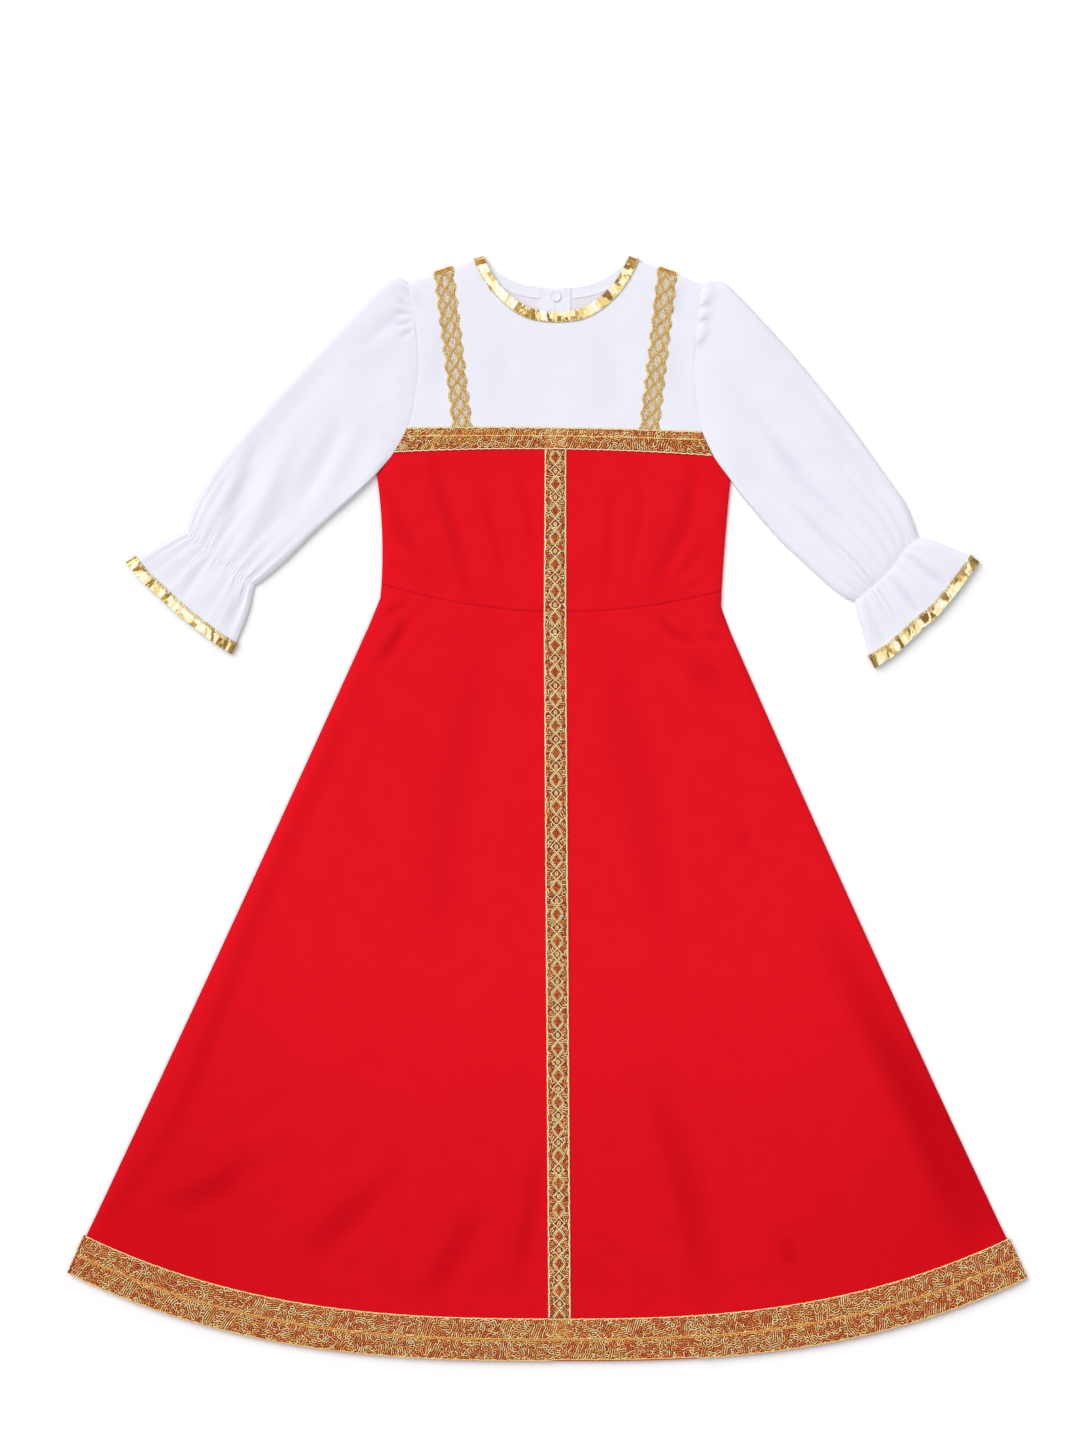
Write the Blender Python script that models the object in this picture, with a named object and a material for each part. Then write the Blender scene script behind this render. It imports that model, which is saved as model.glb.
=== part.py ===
# A child's sarafan dress laid flat with its front up: red skirt and bodice, white yoke and sleeves, gold trims.
# The neck points to +Y and the hem to -Y. Every size is in millimetres until a mesh is made.

import bmesh
import bpy
import numpy as np

MM = 0.001

WALL = 1.0  # one layer of cloth
TRIM = 1.0  # one layer of braid, lace or tape
GAP = 0.3  # between two pieces
SEAM = 0.4  # between two panels that are sewn edge to edge
LIFT = TRIM + GAP  # a back panel over a trim
LOFT = 3.9  # underside of the front bodice and skirt, away from their edges
YOKE_LOFT = 4.3  # underside of the front yoke
HEM_LOFT = 4.1  # underside of the front skirt over the hem braid's back
ROLL = 14.0  # width over which a front edge rolls down to its seam
TAPE = 10.0  # width of the neck and cuff tapes, and of the facing
RAMP = 18.0  # length over which the skirt rises onto the hem braid
WRAP = 1.2  # how far a trim's inside bows out where it turns round an edge
WRAP_STEPS = 6

# Lines across the dress. x of each key column, y at both ends, sag of the middle and the bow's power.
# The columns: side, outer and inner edge of the strap, neck, centre braid, and the same on the right.
LINE_COLUMNS = "name side strap_out strap_in neck centre centre_r neck_r strap_in_r strap_out_r side_r" \
    " y_left y_right sag power".split()
LINES = (
    ("chest_top", -130.9, -89.0, -69.9, -61, -2.5, 17.0, 76.5, 84.9, 103.5, 143.5, 354.8, 351.1, -2.0, 2.0),
    ("chest_seam", -133.2, -89.4, -70.2, -62, -2.5, 17.0, 77.0, 85.3, 104.0, 145.8, 348.3, 345.0, -1.9, 2.0),
    ("chest_bottom", -142.9, -91, -71, -63, -2.5, 17.0, 78, 87, 107, 154.0, 332.0, 328.6, -4.7, 2.0),
    ("underarm", -159.1, -95, -74, -65, -2.8, 17.0, 80, 90, 111, 170.0, 312.0, 306.4, -7.0, 2.0),
    ("waist", -154.7, -103, -81, -70, -3.4, 17.0, 84, 95, 117, 161.7, 209.9, 203.4, 22.9, 2.0),
    ("flare", -156.0, -105, -82, -71, -3.4, 17.0, 85, 96, 119, 161.2, 193.9, 184.6, 18.0, 2.0),
    ("braid_top", -429.4, -290, -228, -200, 0.8, 21.2, 205, 233, 293, 427.1, -396.8, -399.8, 75.2, 2.7),
    ("hem", -444.7, -300, -236, -207, 1.2, 21.7, 212, 241, 302, 443.9, -431.6, -436.5, 78.6, 2.75),
)

# Where the columns of each panel stand between two key columns, as shares, from the side to the centre.
FRONT_SPLITS = ((0.07, 0.2, 0.5), (0.5,), (), (1 / 6, 2 / 6, 3 / 6, 4 / 6, 5 / 6), (0.5,))
SKIRT_SPLITS = ((0.03, 0.08, 0.16, 0.28, 0.45, 0.7), (), (), (0.25, 0.5, 0.75), (0.5,))
BACK_SPLITS = ((0.1, 0.4), (), (), (0.5,), ())

# Shares of the way from one line to the next at which a panel has a row.
YOKE_ROWS = (0, 0.05, 0.12, 0.24, 0.38, 0.52, 0.66, 0.83, 1)
CHEST_ROWS = (0, 0.5, 1)
BODICE_ROWS = (0, 0.12, 0.28, 0.46, 0.64, 0.82, 1)
SKIRT_DROP = 640.0  # length of the skirt from the flare to the hem braid
SKIRT_ROWS = (0, 0.04, 0.09, 0.16, 0.26, 0.38, 0.5, 0.62, 0.74, 0.85, 1 - RAMP / SKIRT_DROP, 1)

SHOULDER_COSINE = 0.95  # of the shoulder line's slope
NECK_LOFT_END = 94.0  # how far from the neck's middle the yoke keeps some of its loft at the shoulder
NECK_LOFT_FADE = 16.0
FACING_SHARE = 0.41  # of the back neckline, from a shoulder towards the placket
BACK_TAPE_SHARE = 0.47
MITRE_LIMIT = 0.6  # least cosine by which a ring's corners are sharpened

# Armhole seams from the shoulder down to the chest seam.
ARMHOLE_COLUMNS = ("x_left", "y_left", "x_right", "y_right")
ARMHOLE = (
    (-129.9, 489.7, 144.2, 488.4),
    (-126.3, 471.0, 140.3, 469.7),
    (-122.6, 444.0, 138.0, 440.0),
    (-120.5, 414.8, 136.3, 412.5),
    (-123.4, 386.0, 137.2, 388.7),
    (-127.0, 366.0, 140.0, 366.0),
    (-130.9, 354.8, 143.5, 351.1),
)
SIDE_WAIST = {"left": 2.6, "right": -0.6}  # how far the side seams of the bodice pull in, towards +X

SIDE_SKIRT = {"left": 1.5, "right": -2.5}  # how far the sides of the skirt pull in, towards +X

# The neck, as half of it: distance from its middle, y of the front edge, y of the back edge.
NECK_X = 7.9
NECK = (
    (67.1, 512.8, 512.8),
    (60.6, 500.2, 504.6),
    (51.0, 486.5, 497.2),
    (36.0, 472.8, 489.6),
    (20.0, 465.2, 486.0),
    (0.0, 463.0, 484.6),
)
STRAP_TOP = (-106.1, -87.5, 102.1, 120.2)  # x of the straps' edges on the shoulders
SHOULDER_LOFT = 2.6  # underside of the front yoke on the shoulder seam
BACK_TOP = LIFT + WALL  # top of the back yoke
PLACKET_X = 7.1
PLACKET = {"width": 28.3, "bottom": 372.0, "notch": 1.8, "notch_half": 3.5}
BUTTON = {"x": 7.1, "y": 477.4, "radius": 4.8, "height": 2.0, "rim": 0.9, "dish": 0.5}

# Each sleeve's outline: the fold from the shoulder, the underarm fold, the elastic, the flare and the cuff.
SLEEVES = {
    "left": {
        "top": ((-129.9, 489.7), (-135.7, 493.6), (-143.5, 493.9), (-156.5, 485.3), (-172.1, 470.1),
                (-224.4, 414.8), (-271.4, 363.9), (-302.7, 327.4), (-322.2, 297.4), (-331.4, 277.8),
                (-337.1, 259.0)),
        "under": ((-159.1, 312.0), (-172.1, 298.7), (-213.9, 260.9), (-240.0, 234.8), (-261.1, 216.2),
                  (-273.0, 207.4)),
        "elastic": ((-337.1, 259.0), (-323.5, 247.1), (-307.9, 232.0), (-293.6, 222.7), (-273.0, 207.4)),
        "flare_top": ((-337.1, 259.0), (-349.7, 253.8), (-365.3, 245.1), (-382.2, 234.7)),
        "flare_under": ((-273.0, 207.4), (-274.6, 200.0), (-279.2, 181.3), (-289.6, 155.1)),
        "cuff": ((-391.9, 229.0), (-381.0, 215.3), (-365.2, 200.4), (-347.1, 183.7), (-328.9, 168.8),
                 (-310.3, 154.8), (-294.8, 144.6)),
    },
    "right": {
        "top": ((144.2, 488.4), (148.6, 490.9), (156.4, 491.8), (164.3, 489.6), (176.0, 478.8),
                (225.3, 425.5), (277.4, 361.3), (316.9, 306.4), (331.4, 286.0), (339.2, 268.7),
                (344.7, 252.5)),
        "under": ((170.0, 306.4), (181.3, 290.6), (212.3, 254.4), (236.0, 232.0), (257.0, 212.5),
                  (275.2, 198.2), (285.5, 193.5)),
        "elastic": ((344.7, 252.5), (332.6, 242.3), (320.7, 225.8), (307.6, 212.7), (285.5, 193.5)),
        "flare_top": ((344.7, 252.5), (356.1, 250.6), (374.1, 244.1), (392.7, 235.8)),
        "flare_under": ((285.5, 193.5), (288.2, 181.0), (293.2, 164.0), (298.8, 144.0)),
        "cuff": ((401.1, 229.5), (383.7, 205.2), (363.5, 180.5), (350.3, 169.1), (332.8, 152.4),
                 (320.5, 141.9), (304.7, 131.5)),
    },
}
# Columns of a sleeve inside each stretch of the armhole, from the shoulder to the underarm.
CAP_STEPS = (2, 4, 6, 6, 2, 2, 2, 2, 1, 2, 2, 3)
# Rows of a sleeve: share of the way to the elastic, and how high its front stands there.
SLEEVE_ROWS = ((0, 5.3), (0.015, 6.6), (0.04, 7.6), (0.08, 8.2), (0.15, 8.0), (0.25, 7.2), (0.37, 6.8),
               (0.5, 6.6), (0.62, 6.5), (0.73, 6.4), (0.83, 6.4), (0.9, 6.3), (0.955, 6.0), (1, 5.0))
# Rows of the flare: share of the way to the tape, and its height.
FLARE_ROWS = ((0.12, 5.6), (0.3, 6.2), (0.6, 6.2), (1, 5.8))
CUFF_HEIGHT = 5.6
SLEEVE_EDGE = 7.0  # width over which a sleeve's front rounds down to its folds
BACK_RISE = 0.06  # share of the sleeve over which its back comes down from the armhole to the surface

# Gathers of the cloth: how high a pleat stands, and the share of the sleeve over which it fades.
CAP_GATHER = {"left": 0.55, "right": 0.0}
CAP_FADE = 0.05
CAP_PUFFS = {"left": 0, "right": 3}  # large soft puffs at the shoulder
PUFF_HEIGHT = 1.6
PUFF_SHARE = 0.3  # share of the armhole that the puffs or gathers take
ELASTIC_GATHER = 0.6
ELASTIC_FADE = 0.09
FLARE_WAVES = 3.5
FLARE_WAVE_HEIGHT = 0.9

# The largest folds. x, y of both ends, width, height above or below the cloth around.
FOLD_COLUMNS = ("x_start", "y_start", "x_end", "y_end", "width", "height")
BODICE_FOLDS = (
    (-107, 328, -73, 196, 9, -1.2),
    (-92, 318, -56, 200, 8, 0.6),
    (-67, 305, -39, 206, 8, -0.9),
    (-30, 327, -14, 234, 8, -0.7),
    (-151, 300, -99, 206, 8, -0.9),
    (131, 327, 92, 192, 12, -1.3),
    (110, 320, 76, 200, 9, 0.6),
    (149, 252, 105, 197, 7, -0.8),
    (59, 305, 50, 188, 9, -0.6),
)
SKIRT_FOLDS = (
    (-131, 178, -160, 132, 10, -1.4),
    (105, 178, 140, 154, 9, -1.0),
    (-178, 105, -411, -384, 13, -1.2),
    (255, -96, 393, -384, 24, -1.8),
    (-157, -342, -226, -420, 20, -1.1),
    (-272, -306, -357, -370, 20, -0.9),
    (-67, -372, -121, -457, 18, -0.9),
    (-9, -318, -30, -445, 12, -0.8),
    (150, -330, 190, -440, 20, -0.8),
)
SLEEVE_FOLDS = (
    (-264, 349, -303, 268, 10, -1.2),
    (-172, 425, -222, 305, 20, -1.5),
    (-199, 321, -284, 240, 10, -1.0),
    (-240, 345, -292, 262, 9, 0.8),
    (-321, 300, -332, 262, 5, -0.9),
    (199, 358, 272, 268, 13, -1.2),
    (236, 394, 328, 276, 11, -1.1),
    (222, 362, 300, 262, 10, 0.8),
    (231, 281, 293, 222, 5, -0.7),
)

# Colour, roughness and metallic value of each cloth and trim.
FINISHES = {
    "red_cloth": ((0.70, 0.008, 0.014, 1), 0.75, 0.0),
    "white_cloth": ((0.86, 0.85, 0.88, 1), 0.8, 0.0),
    "gold_braid": ((0.62, 0.40, 0.10, 1), 0.4, 0.7),
    "gold_lace": ((0.66, 0.42, 0.11, 1), 0.42, 0.6),
    "gold_tape": ((0.85, 0.66, 0.25, 1), 0.2, 1.0),
    "button_plastic": ((0.88, 0.87, 0.90, 1), 0.3, 0.0),
}


def clear_scene():
    for thing in list(bpy.data.objects):
        bpy.data.objects.remove(thing, do_unlink=True)


def finish(slot):
    material = bpy.data.materials.get(slot) or bpy.data.materials.new(slot)
    material.use_nodes = True
    shader = material.node_tree.nodes["Principled BSDF"]
    colour, roughness, metallic = FINISHES[slot]
    shader.inputs["Base Color"].default_value = colour
    shader.inputs["Roughness"].default_value = roughness
    shader.inputs["Metallic"].default_value = metallic
    return material


def add_object(name, bm, slot):
    """One closed body in metres, facing out."""
    bmesh.ops.recalc_face_normals(bm, faces=bm.faces[:])
    mesh = bpy.data.meshes.new(name)
    bm.to_mesh(mesh)
    bm.free()
    mesh.materials.append(finish(slot).copy())
    thing = bpy.data.objects.new(name, mesh)
    bpy.context.collection.objects.link(thing)
    return thing


def curve(points):
    """A smooth line through the points, as many short steps."""
    points = np.array(points, float)
    before = 2 * points[0] - points[1]
    after = 2 * points[-1] - points[-2]
    padded = np.vstack([before, points, after])
    steps = np.linspace(0, 1, 24, endpoint=False)[:, None]
    pieces = []
    for a, b, c, d in zip(padded, padded[1:], padded[2:], padded[3:]):
        pieces.append(0.5 * (2 * b + (c - a) * steps + (2 * a - 5 * b + 4 * c - d) * steps**2
                             + (3 * b - a - 3 * c + d) * steps**3))
    return np.vstack([*pieces, points[-1:]])


def lengths(line):
    return np.concatenate([[0], np.cumsum(np.linalg.norm(np.diff(line, axis=0), axis=1))])


def along(line, shares):
    """Points at these shares of a line's length."""
    run = lengths(line)
    at = np.asarray(shares, float) * run[-1]
    return np.column_stack([np.interp(at, run, line[:, k]) for k in range(2)])


def sideways(line):
    """Unit vectors across a line, to its right when it is walked."""
    step = np.gradient(line, axis=0)
    step /= np.linalg.norm(step, axis=1)[:, None]
    return np.column_stack([step[:, 1], -step[:, 0]])


def spread(keys, splits):
    """The keys with each stretch split, the right half being the left half's mirror image."""
    halves = list(splits) + [tuple(1 - s for s in reversed(split)) for split in reversed(splits[:-1])]
    found = []
    for start, end, split in zip(keys, keys[1:], halves):
        found += [start + (end - start) * share for share in (0, *split)]
    return np.array([*found, keys[-1]])


def line_named(name):
    return dict(zip(LINE_COLUMNS, next(line for line in LINES if line[0] == name)))


def line_points(name, x):
    """The points of one line across the dress at these x."""
    row = line_named(name)
    middle = (row["side"] + row["side_r"]) / 2
    half = (row["side_r"] - row["side"]) / 2
    chord = np.interp(x, (row["side"], row["side_r"]), (row["y_left"], row["y_right"]))
    bow = 1 - np.clip(np.abs((x - middle) / half), 0, 1) ** row["power"]
    return np.column_stack([x, chord - row["sag"] * bow])


def line_row(name, splits):
    row = line_named(name)
    return line_points(name, spread([row[column] for column in LINE_COLUMNS[1:11]], splits))


def side_weights(splits):
    """How far each column of the first stretch follows the side's own curve."""
    return np.array([1, *(1 - share for share in splits[0])])


def rows_between(first, last, shares, splits, left=None, right=None):
    """Rows from one line to the next. left and right give the side's own points, one for each share."""
    weights = side_weights(splits)[:, None]
    count = len(weights)
    rows = []
    for k, share in enumerate(shares):
        row = first + (last - first) * share
        if left is not None:
            row[:count] += weights * (left[k] - row[0])
        if right is not None:
            row[-count:] += weights[::-1] * (right[k] - row[-1])
        rows.append(row)
    return rows


def bowed_side(start, end, shares, bow):
    """A side from start to end that bows by this much in the middle, towards +X."""
    shares = np.array(shares, float)[:, None]
    straight = start + (end - start) * shares
    return straight + np.array([bow, 0.0]) * 4 * shares * (1 - shares)


def fold_relief(points, folds):
    """What the folds add to the height at these points."""
    total = np.zeros(points.shape[:-1])
    for x_start, y_start, x_end, y_end, width, height in folds:
        start, run = np.array([x_start, y_start]), np.array([x_end - x_start, y_end - y_start])
        share = np.clip(((points - start) @ run) / (run @ run), 0, 1)
        away = np.linalg.norm(points - start - share[..., None] * run, axis=-1)
        fade = np.sin(np.pi * (0.12 + 0.76 * share))
        total += height * fade * np.exp(-((away / width) ** 2))
    return total


def rolled(distance, width=ROLL):
    """Rises from 0 at an edge to 1, as a quarter of an ellipse."""
    share = np.clip(np.asarray(distance, float) / width, 0, 1)
    return np.sqrt(1 - (1 - share) ** 2)


def grid_cells(grid):
    """The grid's cells as two triangles each, always split the same way."""
    for low, high in zip(grid, grid[1:]):
        for k in range(len(low) - 1):
            yield low[k], low[k + 1], high[k + 1]
            yield low[k], high[k + 1], high[k]


def sheet_mesh(grids, thickness):
    """A sheet made of grids of (x, y, z) that share edges, thickened upwards into a closed body."""
    bm = bmesh.new()
    found = {}

    def vertex(point):
        key = tuple(np.round(point, 3))
        if key not in found:
            found[key] = bm.verts.new([value * MM for value in point])
        return found[key]

    for grid in grids:
        for corners in grid_cells(grid):
            bm.faces.new([vertex(corner) for corner in corners])
    raised = bmesh.ops.extrude_face_region(bm, geom=bm.faces[:], use_keep_orig=True)
    tops = [item for item in raised["geom"] if isinstance(item, bmesh.types.BMVert)]
    bmesh.ops.translate(bm, verts=tops, vec=(0, 0, thickness * MM))
    return bm


def slab(name, grids, thickness, slot):
    return add_object(name, sheet_mesh(grids, thickness), slot)


def moved_out(grid, offset):
    return grid + np.array([0, 0, offset])


def with_height(plan, height):
    """(rows, columns, 2) points and their heights as one grid."""
    height = np.broadcast_to(height, plan.shape[:-1])
    return np.concatenate([plan, height[..., None]], axis=-1)


def bridge(bm, first, last):
    """Joins two rings of vertices, each cell split the same way."""
    for k in range(len(first)):
        after = (k + 1) % len(first)
        bm.faces.new((first[k], first[after], last[after]))
        bm.faces.new((first[k], last[after], last[k]))


def new_ring(bm, points):
    return [bm.verts.new([value * MM for value in point]) for point in points]


def band(name, stations, slot, closed=False):
    """A trim swept through stations. Each is its under points and its outer points, across its width."""
    bm = bmesh.new()
    rings = [new_ring(bm, [*under, *outer[::-1]]) for under, outer in stations]
    for first, last in zip(rings, rings[1:]):
        bridge(bm, first, last)
    if closed:
        bridge(bm, rings[-1], rings[0])
    else:
        cap(bm, rings[0])
        cap(bm, rings[-1][::-1])
    return add_object(name, bm, slot)


def cap(bm, ring):
    """Closes a station's section, strip by strip across the band."""
    half = len(ring) // 2
    for k in range(half - 1):
        bm.faces.new((ring[k], ring[2 * half - 1 - k], ring[2 * half - 2 - k]))
        bm.faces.new((ring[k], ring[2 * half - 2 - k], ring[k + 1]))


def wrap_stations(edge, outward, low, high):
    """Stations round an edge, from the back (z of the trim's inner face low) to the front (high)."""
    middle, half = (low + high) / 2, (high - low) / 2
    stations = []
    for angle in np.linspace(-np.pi / 2, np.pi / 2, WRAP_STEPS + 1)[1:-1]:
        inner = wrapped(edge, outward, middle, half, WRAP, angle)
        outer = wrapped(edge, outward, middle, half + TRIM, WRAP + TRIM, angle)
        stations.append((inner, outer))
    return stations


def wrapped(edge, outward, middle, half, width, angle):
    out = outward * width * np.cos(angle)
    rise = np.asarray(middle) + np.asarray(half) * np.sin(angle)
    flat = np.asarray(edge) + out
    return [np.array([x, y, z]) for (x, y), z in zip(flat, np.broadcast_to(rise, len(flat)))]


def flat_station(points, under, outer):
    """A station whose under and outer faces are at these heights."""
    return with_height(np.array(points), under), with_height(np.array(points), outer)


def grid_station(points):
    """A station that lies on a panel's own points, given as that panel's top."""
    return moved_out(points, GAP), moved_out(points, GAP + TRIM)


def side_of(name, side):
    """The end of a line across the dress."""
    row = line_named(name)
    return np.array([row["side"], row["y_left"]] if side == "left" else [row["side_r"], row["y_right"]])


def armhole_points(side):
    """The yoke's points, the chest seam's and the bodice's, from the shoulder down to the underarm."""
    first = ARMHOLE_COLUMNS.index(f"x_{side}")
    yoke = along(curve([row[first : first + 2] for row in ARMHOLE]), YOKE_ROWS)
    seam = side_of("chest_seam", side)
    chest = bowed_side(side_of("chest_bottom", side), side_of("underarm", side), CHEST_ROWS, 0)
    return yoke, seam, chest


def shoulder_y(x):
    """y of the shoulder seam on either side of the neck."""
    (outer_left, y_left, outer_right, y_right), (half, y_neck, _) = ARMHOLE[0], NECK[0]
    return np.interp(x, (outer_left, NECK_X - half, NECK_X + half, outer_right), (y_left, y_neck, y_neck, y_right))


def shoulder_outward(side):
    half, y_neck, _ = NECK[0]
    x_out, y_out = ARMHOLE[0][:2] if side == "left" else ARMHOLE[0][2:]
    step = np.array([half if side == "right" else -half, 0.0]) + [NECK_X - x_out, y_neck - y_out]
    step /= np.linalg.norm(step)
    return np.array([-step[1], step[0]]) * (1 if side == "left" else -1)


def neck_band(column, shares):
    """Points of the neckline and of the tape's outer edge at these shares, from the left to the right shoulder."""
    half = [(row[0], row[column]) for row in NECK]
    line = curve([(NECK_X - d, y) for d, y in half] + [(NECK_X + d, y) for d, y in half[-2::-1]])
    neckline = along(line, shares)
    across = sideways(line)
    at = np.asarray(shares, float) * lengths(line)[-1]
    turned = np.column_stack([np.interp(at, lengths(line), across[:, k]) for k in range(2)])
    outer = neckline + TAPE * turned
    for k, share in enumerate(shares):
        if share in (0, 1):
            x = outer[k, 0]
            outer[k] = x, shoulder_y(x)
    return neckline, outer


def yoke_front_plan():
    """Rows of the front yoke from the tape's outer edge and the shoulders down, and the strip up to the neck."""
    before = sum(len(split) + 1 for split in FRONT_SPLITS[:3])
    count = 2 * sum(len(split) + 1 for split in FRONT_SPLITS[:4]) + len(FRONT_SPLITS[4]) + 1
    shares = np.linspace(0, 1, count - 2 * before + 1)
    neckline, outer = neck_band(1, shares)
    keys = [ARMHOLE[0][0], *STRAP_TOP[:2], outer[0, 0], outer[0, 0] + 1, outer[-1, 0] - 1, outer[-1, 0],
            *STRAP_TOP[2:], ARMHOLE[0][2]]
    x = spread(keys, FRONT_SPLITS)
    top = np.column_stack([x, shoulder_y(x)])
    top[before : count - before + 1] = outer
    left, right = armhole_points("left")[0], armhole_points("right")[0]
    rows = rows_between(top, line_row("chest_top", FRONT_SPLITS), YOKE_ROWS, FRONT_SPLITS, left, right)
    seam = line_row("chest_seam", FRONT_SPLITS) + [0, SEAM / 2]
    strip = np.array([outer, neckline])
    return np.array([*rows, seam]), strip


def yoke_front_height(plan):
    """The underside of the front yoke. It comes down to the back at the shoulders, but for the neck."""
    x, y = plan[..., 0], plan[..., 1]
    below = (shoulder_y(x) - y) * SHOULDER_COSINE
    from_neck = np.abs(x - NECK_X)
    closeness = np.clip((NECK_LOFT_END - from_neck) / NECK_LOFT_FADE, 0, 1)
    edge = SHOULDER_LOFT + (YOKE_LOFT - SHOULDER_LOFT) * closeness
    return edge + (YOKE_LOFT - edge) * rolled(below)


def bodice_front_grid():
    """Rows of the front bodice from the chest seam to the waist, with their undersides' heights."""
    chest = {side: armhole_points(side)[2] for side in ("left", "right")}
    under = line_row("underarm", FRONT_SPLITS)
    upper = rows_between(line_row("chest_bottom", FRONT_SPLITS), under, CHEST_ROWS, FRONT_SPLITS,
                         chest["left"], chest["right"])
    waist = line_row("waist", FRONT_SPLITS)
    lower = rows_between(under, waist, BODICE_ROWS, FRONT_SPLITS,
                         *pulled_sides(under, waist, BODICE_ROWS, SIDE_WAIST))
    lower[-1] = lower[-1] + [0, SEAM / 2]
    seam = line_row("chest_seam", FRONT_SPLITS) - [0, SEAM / 2]
    plan = np.array([seam, *upper, *lower[1:]])
    # How far each row's ends are open to the sleeve, and the height away from the ends.
    opened = np.array([1, 1, 0.55] + [0] * len(BODICE_ROWS))
    inside = np.array([YOKE_LOFT, YOKE_LOFT, YOKE_LOFT, YOKE_LOFT] + [LOFT] * (len(BODICE_ROWS) - 1))
    return front_grid(plan, WALL + GAP, opened, inside, BODICE_FOLDS)


def pulled_sides(start, end, shares, bows):
    return bowed_side(start[0], end[0], shares, bows["left"]), bowed_side(start[-1], end[-1], shares, bows["right"])


def front_grid(plan, edge, opened, inside, folds):
    """Heights that rise from each row's ends to the inside, and the folds."""
    edge = np.broadcast_to(edge, len(plan))
    near = np.minimum(np.linalg.norm(plan - plan[:, :1], axis=-1), np.linalg.norm(plan - plan[:, -1:], axis=-1))
    rise = opened[:, None] + (1 - opened[:, None]) * rolled(near)
    height = edge[:, None] + (inside - edge)[:, None] * rise
    relief = fold_relief(plan, folds) * rolled(near)
    return with_height(plan, height + relief)


def skirt_rows(splits):
    """Rows of the skirt from the waist to the hem."""
    waist, flare = line_row("waist", splits), line_row("flare", splits)
    braid_top, hem = line_row("braid_top", splits), line_row("hem", splits)
    body = rows_between(flare, braid_top, SKIRT_ROWS, splits, *pulled_sides(flare, braid_top, SKIRT_ROWS, SIDE_SKIRT))
    return np.array([waist - [0, SEAM / 2], *body, (braid_top + hem) / 2, hem])


def back_lifts():
    """Height of the skirt's back on each of its rows: it lies on the surface, then on the hem braid."""
    return np.array([0.0] * len(SKIRT_ROWS) + [LIFT, LIFT, LIFT])


def skirt_front_grid():
    plan = skirt_rows(SKIRT_SPLITS)
    lifts = back_lifts()
    inside = np.where(lifts > 0, HEM_LOFT, LOFT)
    return front_grid(plan, lifts + WALL + GAP, np.zeros(len(plan)), inside, SKIRT_FOLDS)


def yoke_back_grid(side):
    """Half of the back yoke, from the shoulder and the neck down to the chest seam, in columns from the armhole."""
    sign = 1 if side == "left" else -1
    shares = np.linspace(0, 0.5, 9)
    neckline, _ = neck_band(2, shares if side == "left" else 1 - shares)
    neckline[-1, 0] = NECK_X - sign * SEAM / 2
    neckline[:, 1] -= notch(neckline[:, 0])
    x_out = ARMHOLE[0][0 if side == "left" else 2]
    shoulder = x_out + (neckline[0, 0] - x_out) * np.array([0, 0.1, 0.35, 0.65])
    top = np.vstack([np.column_stack([shoulder, shoulder_y(shoulder)]), neckline])
    rows = []
    weights = np.array([1, 0.9, 0.65, 0.35] + [0] * len(neckline))[:, None]
    armhole = armhole_points(side)[0]
    chest = half_line("chest_top", side, top)
    for share, end in zip(YOKE_ROWS, armhole):
        row = top + (chest - top) * share
        rows.append(row + weights * (end - row[0]))
    seam = half_line("chest_seam", side, top) + [0, SEAM / 2]
    return with_height(np.array([*rows, seam]), LIFT)


def half_line(name, side, top):
    """The points of a line below the points of a half yoke's top."""
    end, middle = side_of(name, side)[0], top[-1, 0]
    share = (top[:, 0] - top[0, 0]) / (middle - top[0, 0])
    return line_points(name, end + (middle - end) * share)


def notch(x):
    """Depth of the small notch where the two halves of the back meet at the neck."""
    return PLACKET["notch"] * np.exp(-(((x - NECK_X) / PLACKET["notch_half"]) ** 2))


def bodice_back_grid():
    chest = {side: armhole_points(side)[2] for side in ("left", "right")}
    under, waist = line_row("underarm", BACK_SPLITS), line_row("waist", BACK_SPLITS)
    upper = rows_between(line_row("chest_bottom", BACK_SPLITS), under, CHEST_ROWS, BACK_SPLITS,
                         chest["left"], chest["right"])
    lower = rows_between(under, waist, BODICE_ROWS, BACK_SPLITS,
                         *pulled_sides(under, waist, BODICE_ROWS, SIDE_WAIST))
    lower[-1] = lower[-1] + [0, SEAM / 2]
    seam = line_row("chest_seam", BACK_SPLITS) - [0, SEAM / 2]
    plan = np.array([seam, *upper, *lower[1:]])
    lifts = np.array([LIFT, LIFT, LIFT / 2] + [0.0] * len(BODICE_ROWS))
    return with_height(plan, lifts[:, None])


def skirt_back_grid():
    return with_height(skirt_rows(BACK_SPLITS), back_lifts()[:, None])


def facing_grid(side):
    """A strip inside the back neckline, from the shoulder to the placket."""
    sign = 1 if side == "left" else -1
    shares = np.linspace(0, FACING_SHARE, 8)
    neckline, outer = neck_band(2, shares if side == "left" else 1 - shares)
    end = PLACKET_X - sign * (PLACKET["width"] / 2 + GAP)
    for line in (neckline, outer):
        line[-1] = end, np.interp(end, *sorted_line(line))
    return with_height(np.array([outer, neckline]), BACK_TOP + GAP)


def sorted_line(line):
    order = np.argsort(line[:, 0])
    return line[order, 0], line[order, 1]


def placket_grid():
    """The strip over the centre back opening, with the notch at its top."""
    half = PLACKET["width"] / 2
    x = PLACKET_X + half * np.array([-1, -0.7, -0.4, -0.15, 0.06, 0.27, 0.5, 0.75, 1])
    neckline, _ = neck_band(2, np.linspace(0, 1, 60))
    top = np.interp(x, neckline[:, 0], neckline[:, 1]) - notch(x)
    rows = [np.column_stack([x, top + (PLACKET["bottom"] - top) * share]) for share in (0, 0.1, 0.4, 1)]
    return with_height(np.array(rows), BACK_TOP + GAP)


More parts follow.
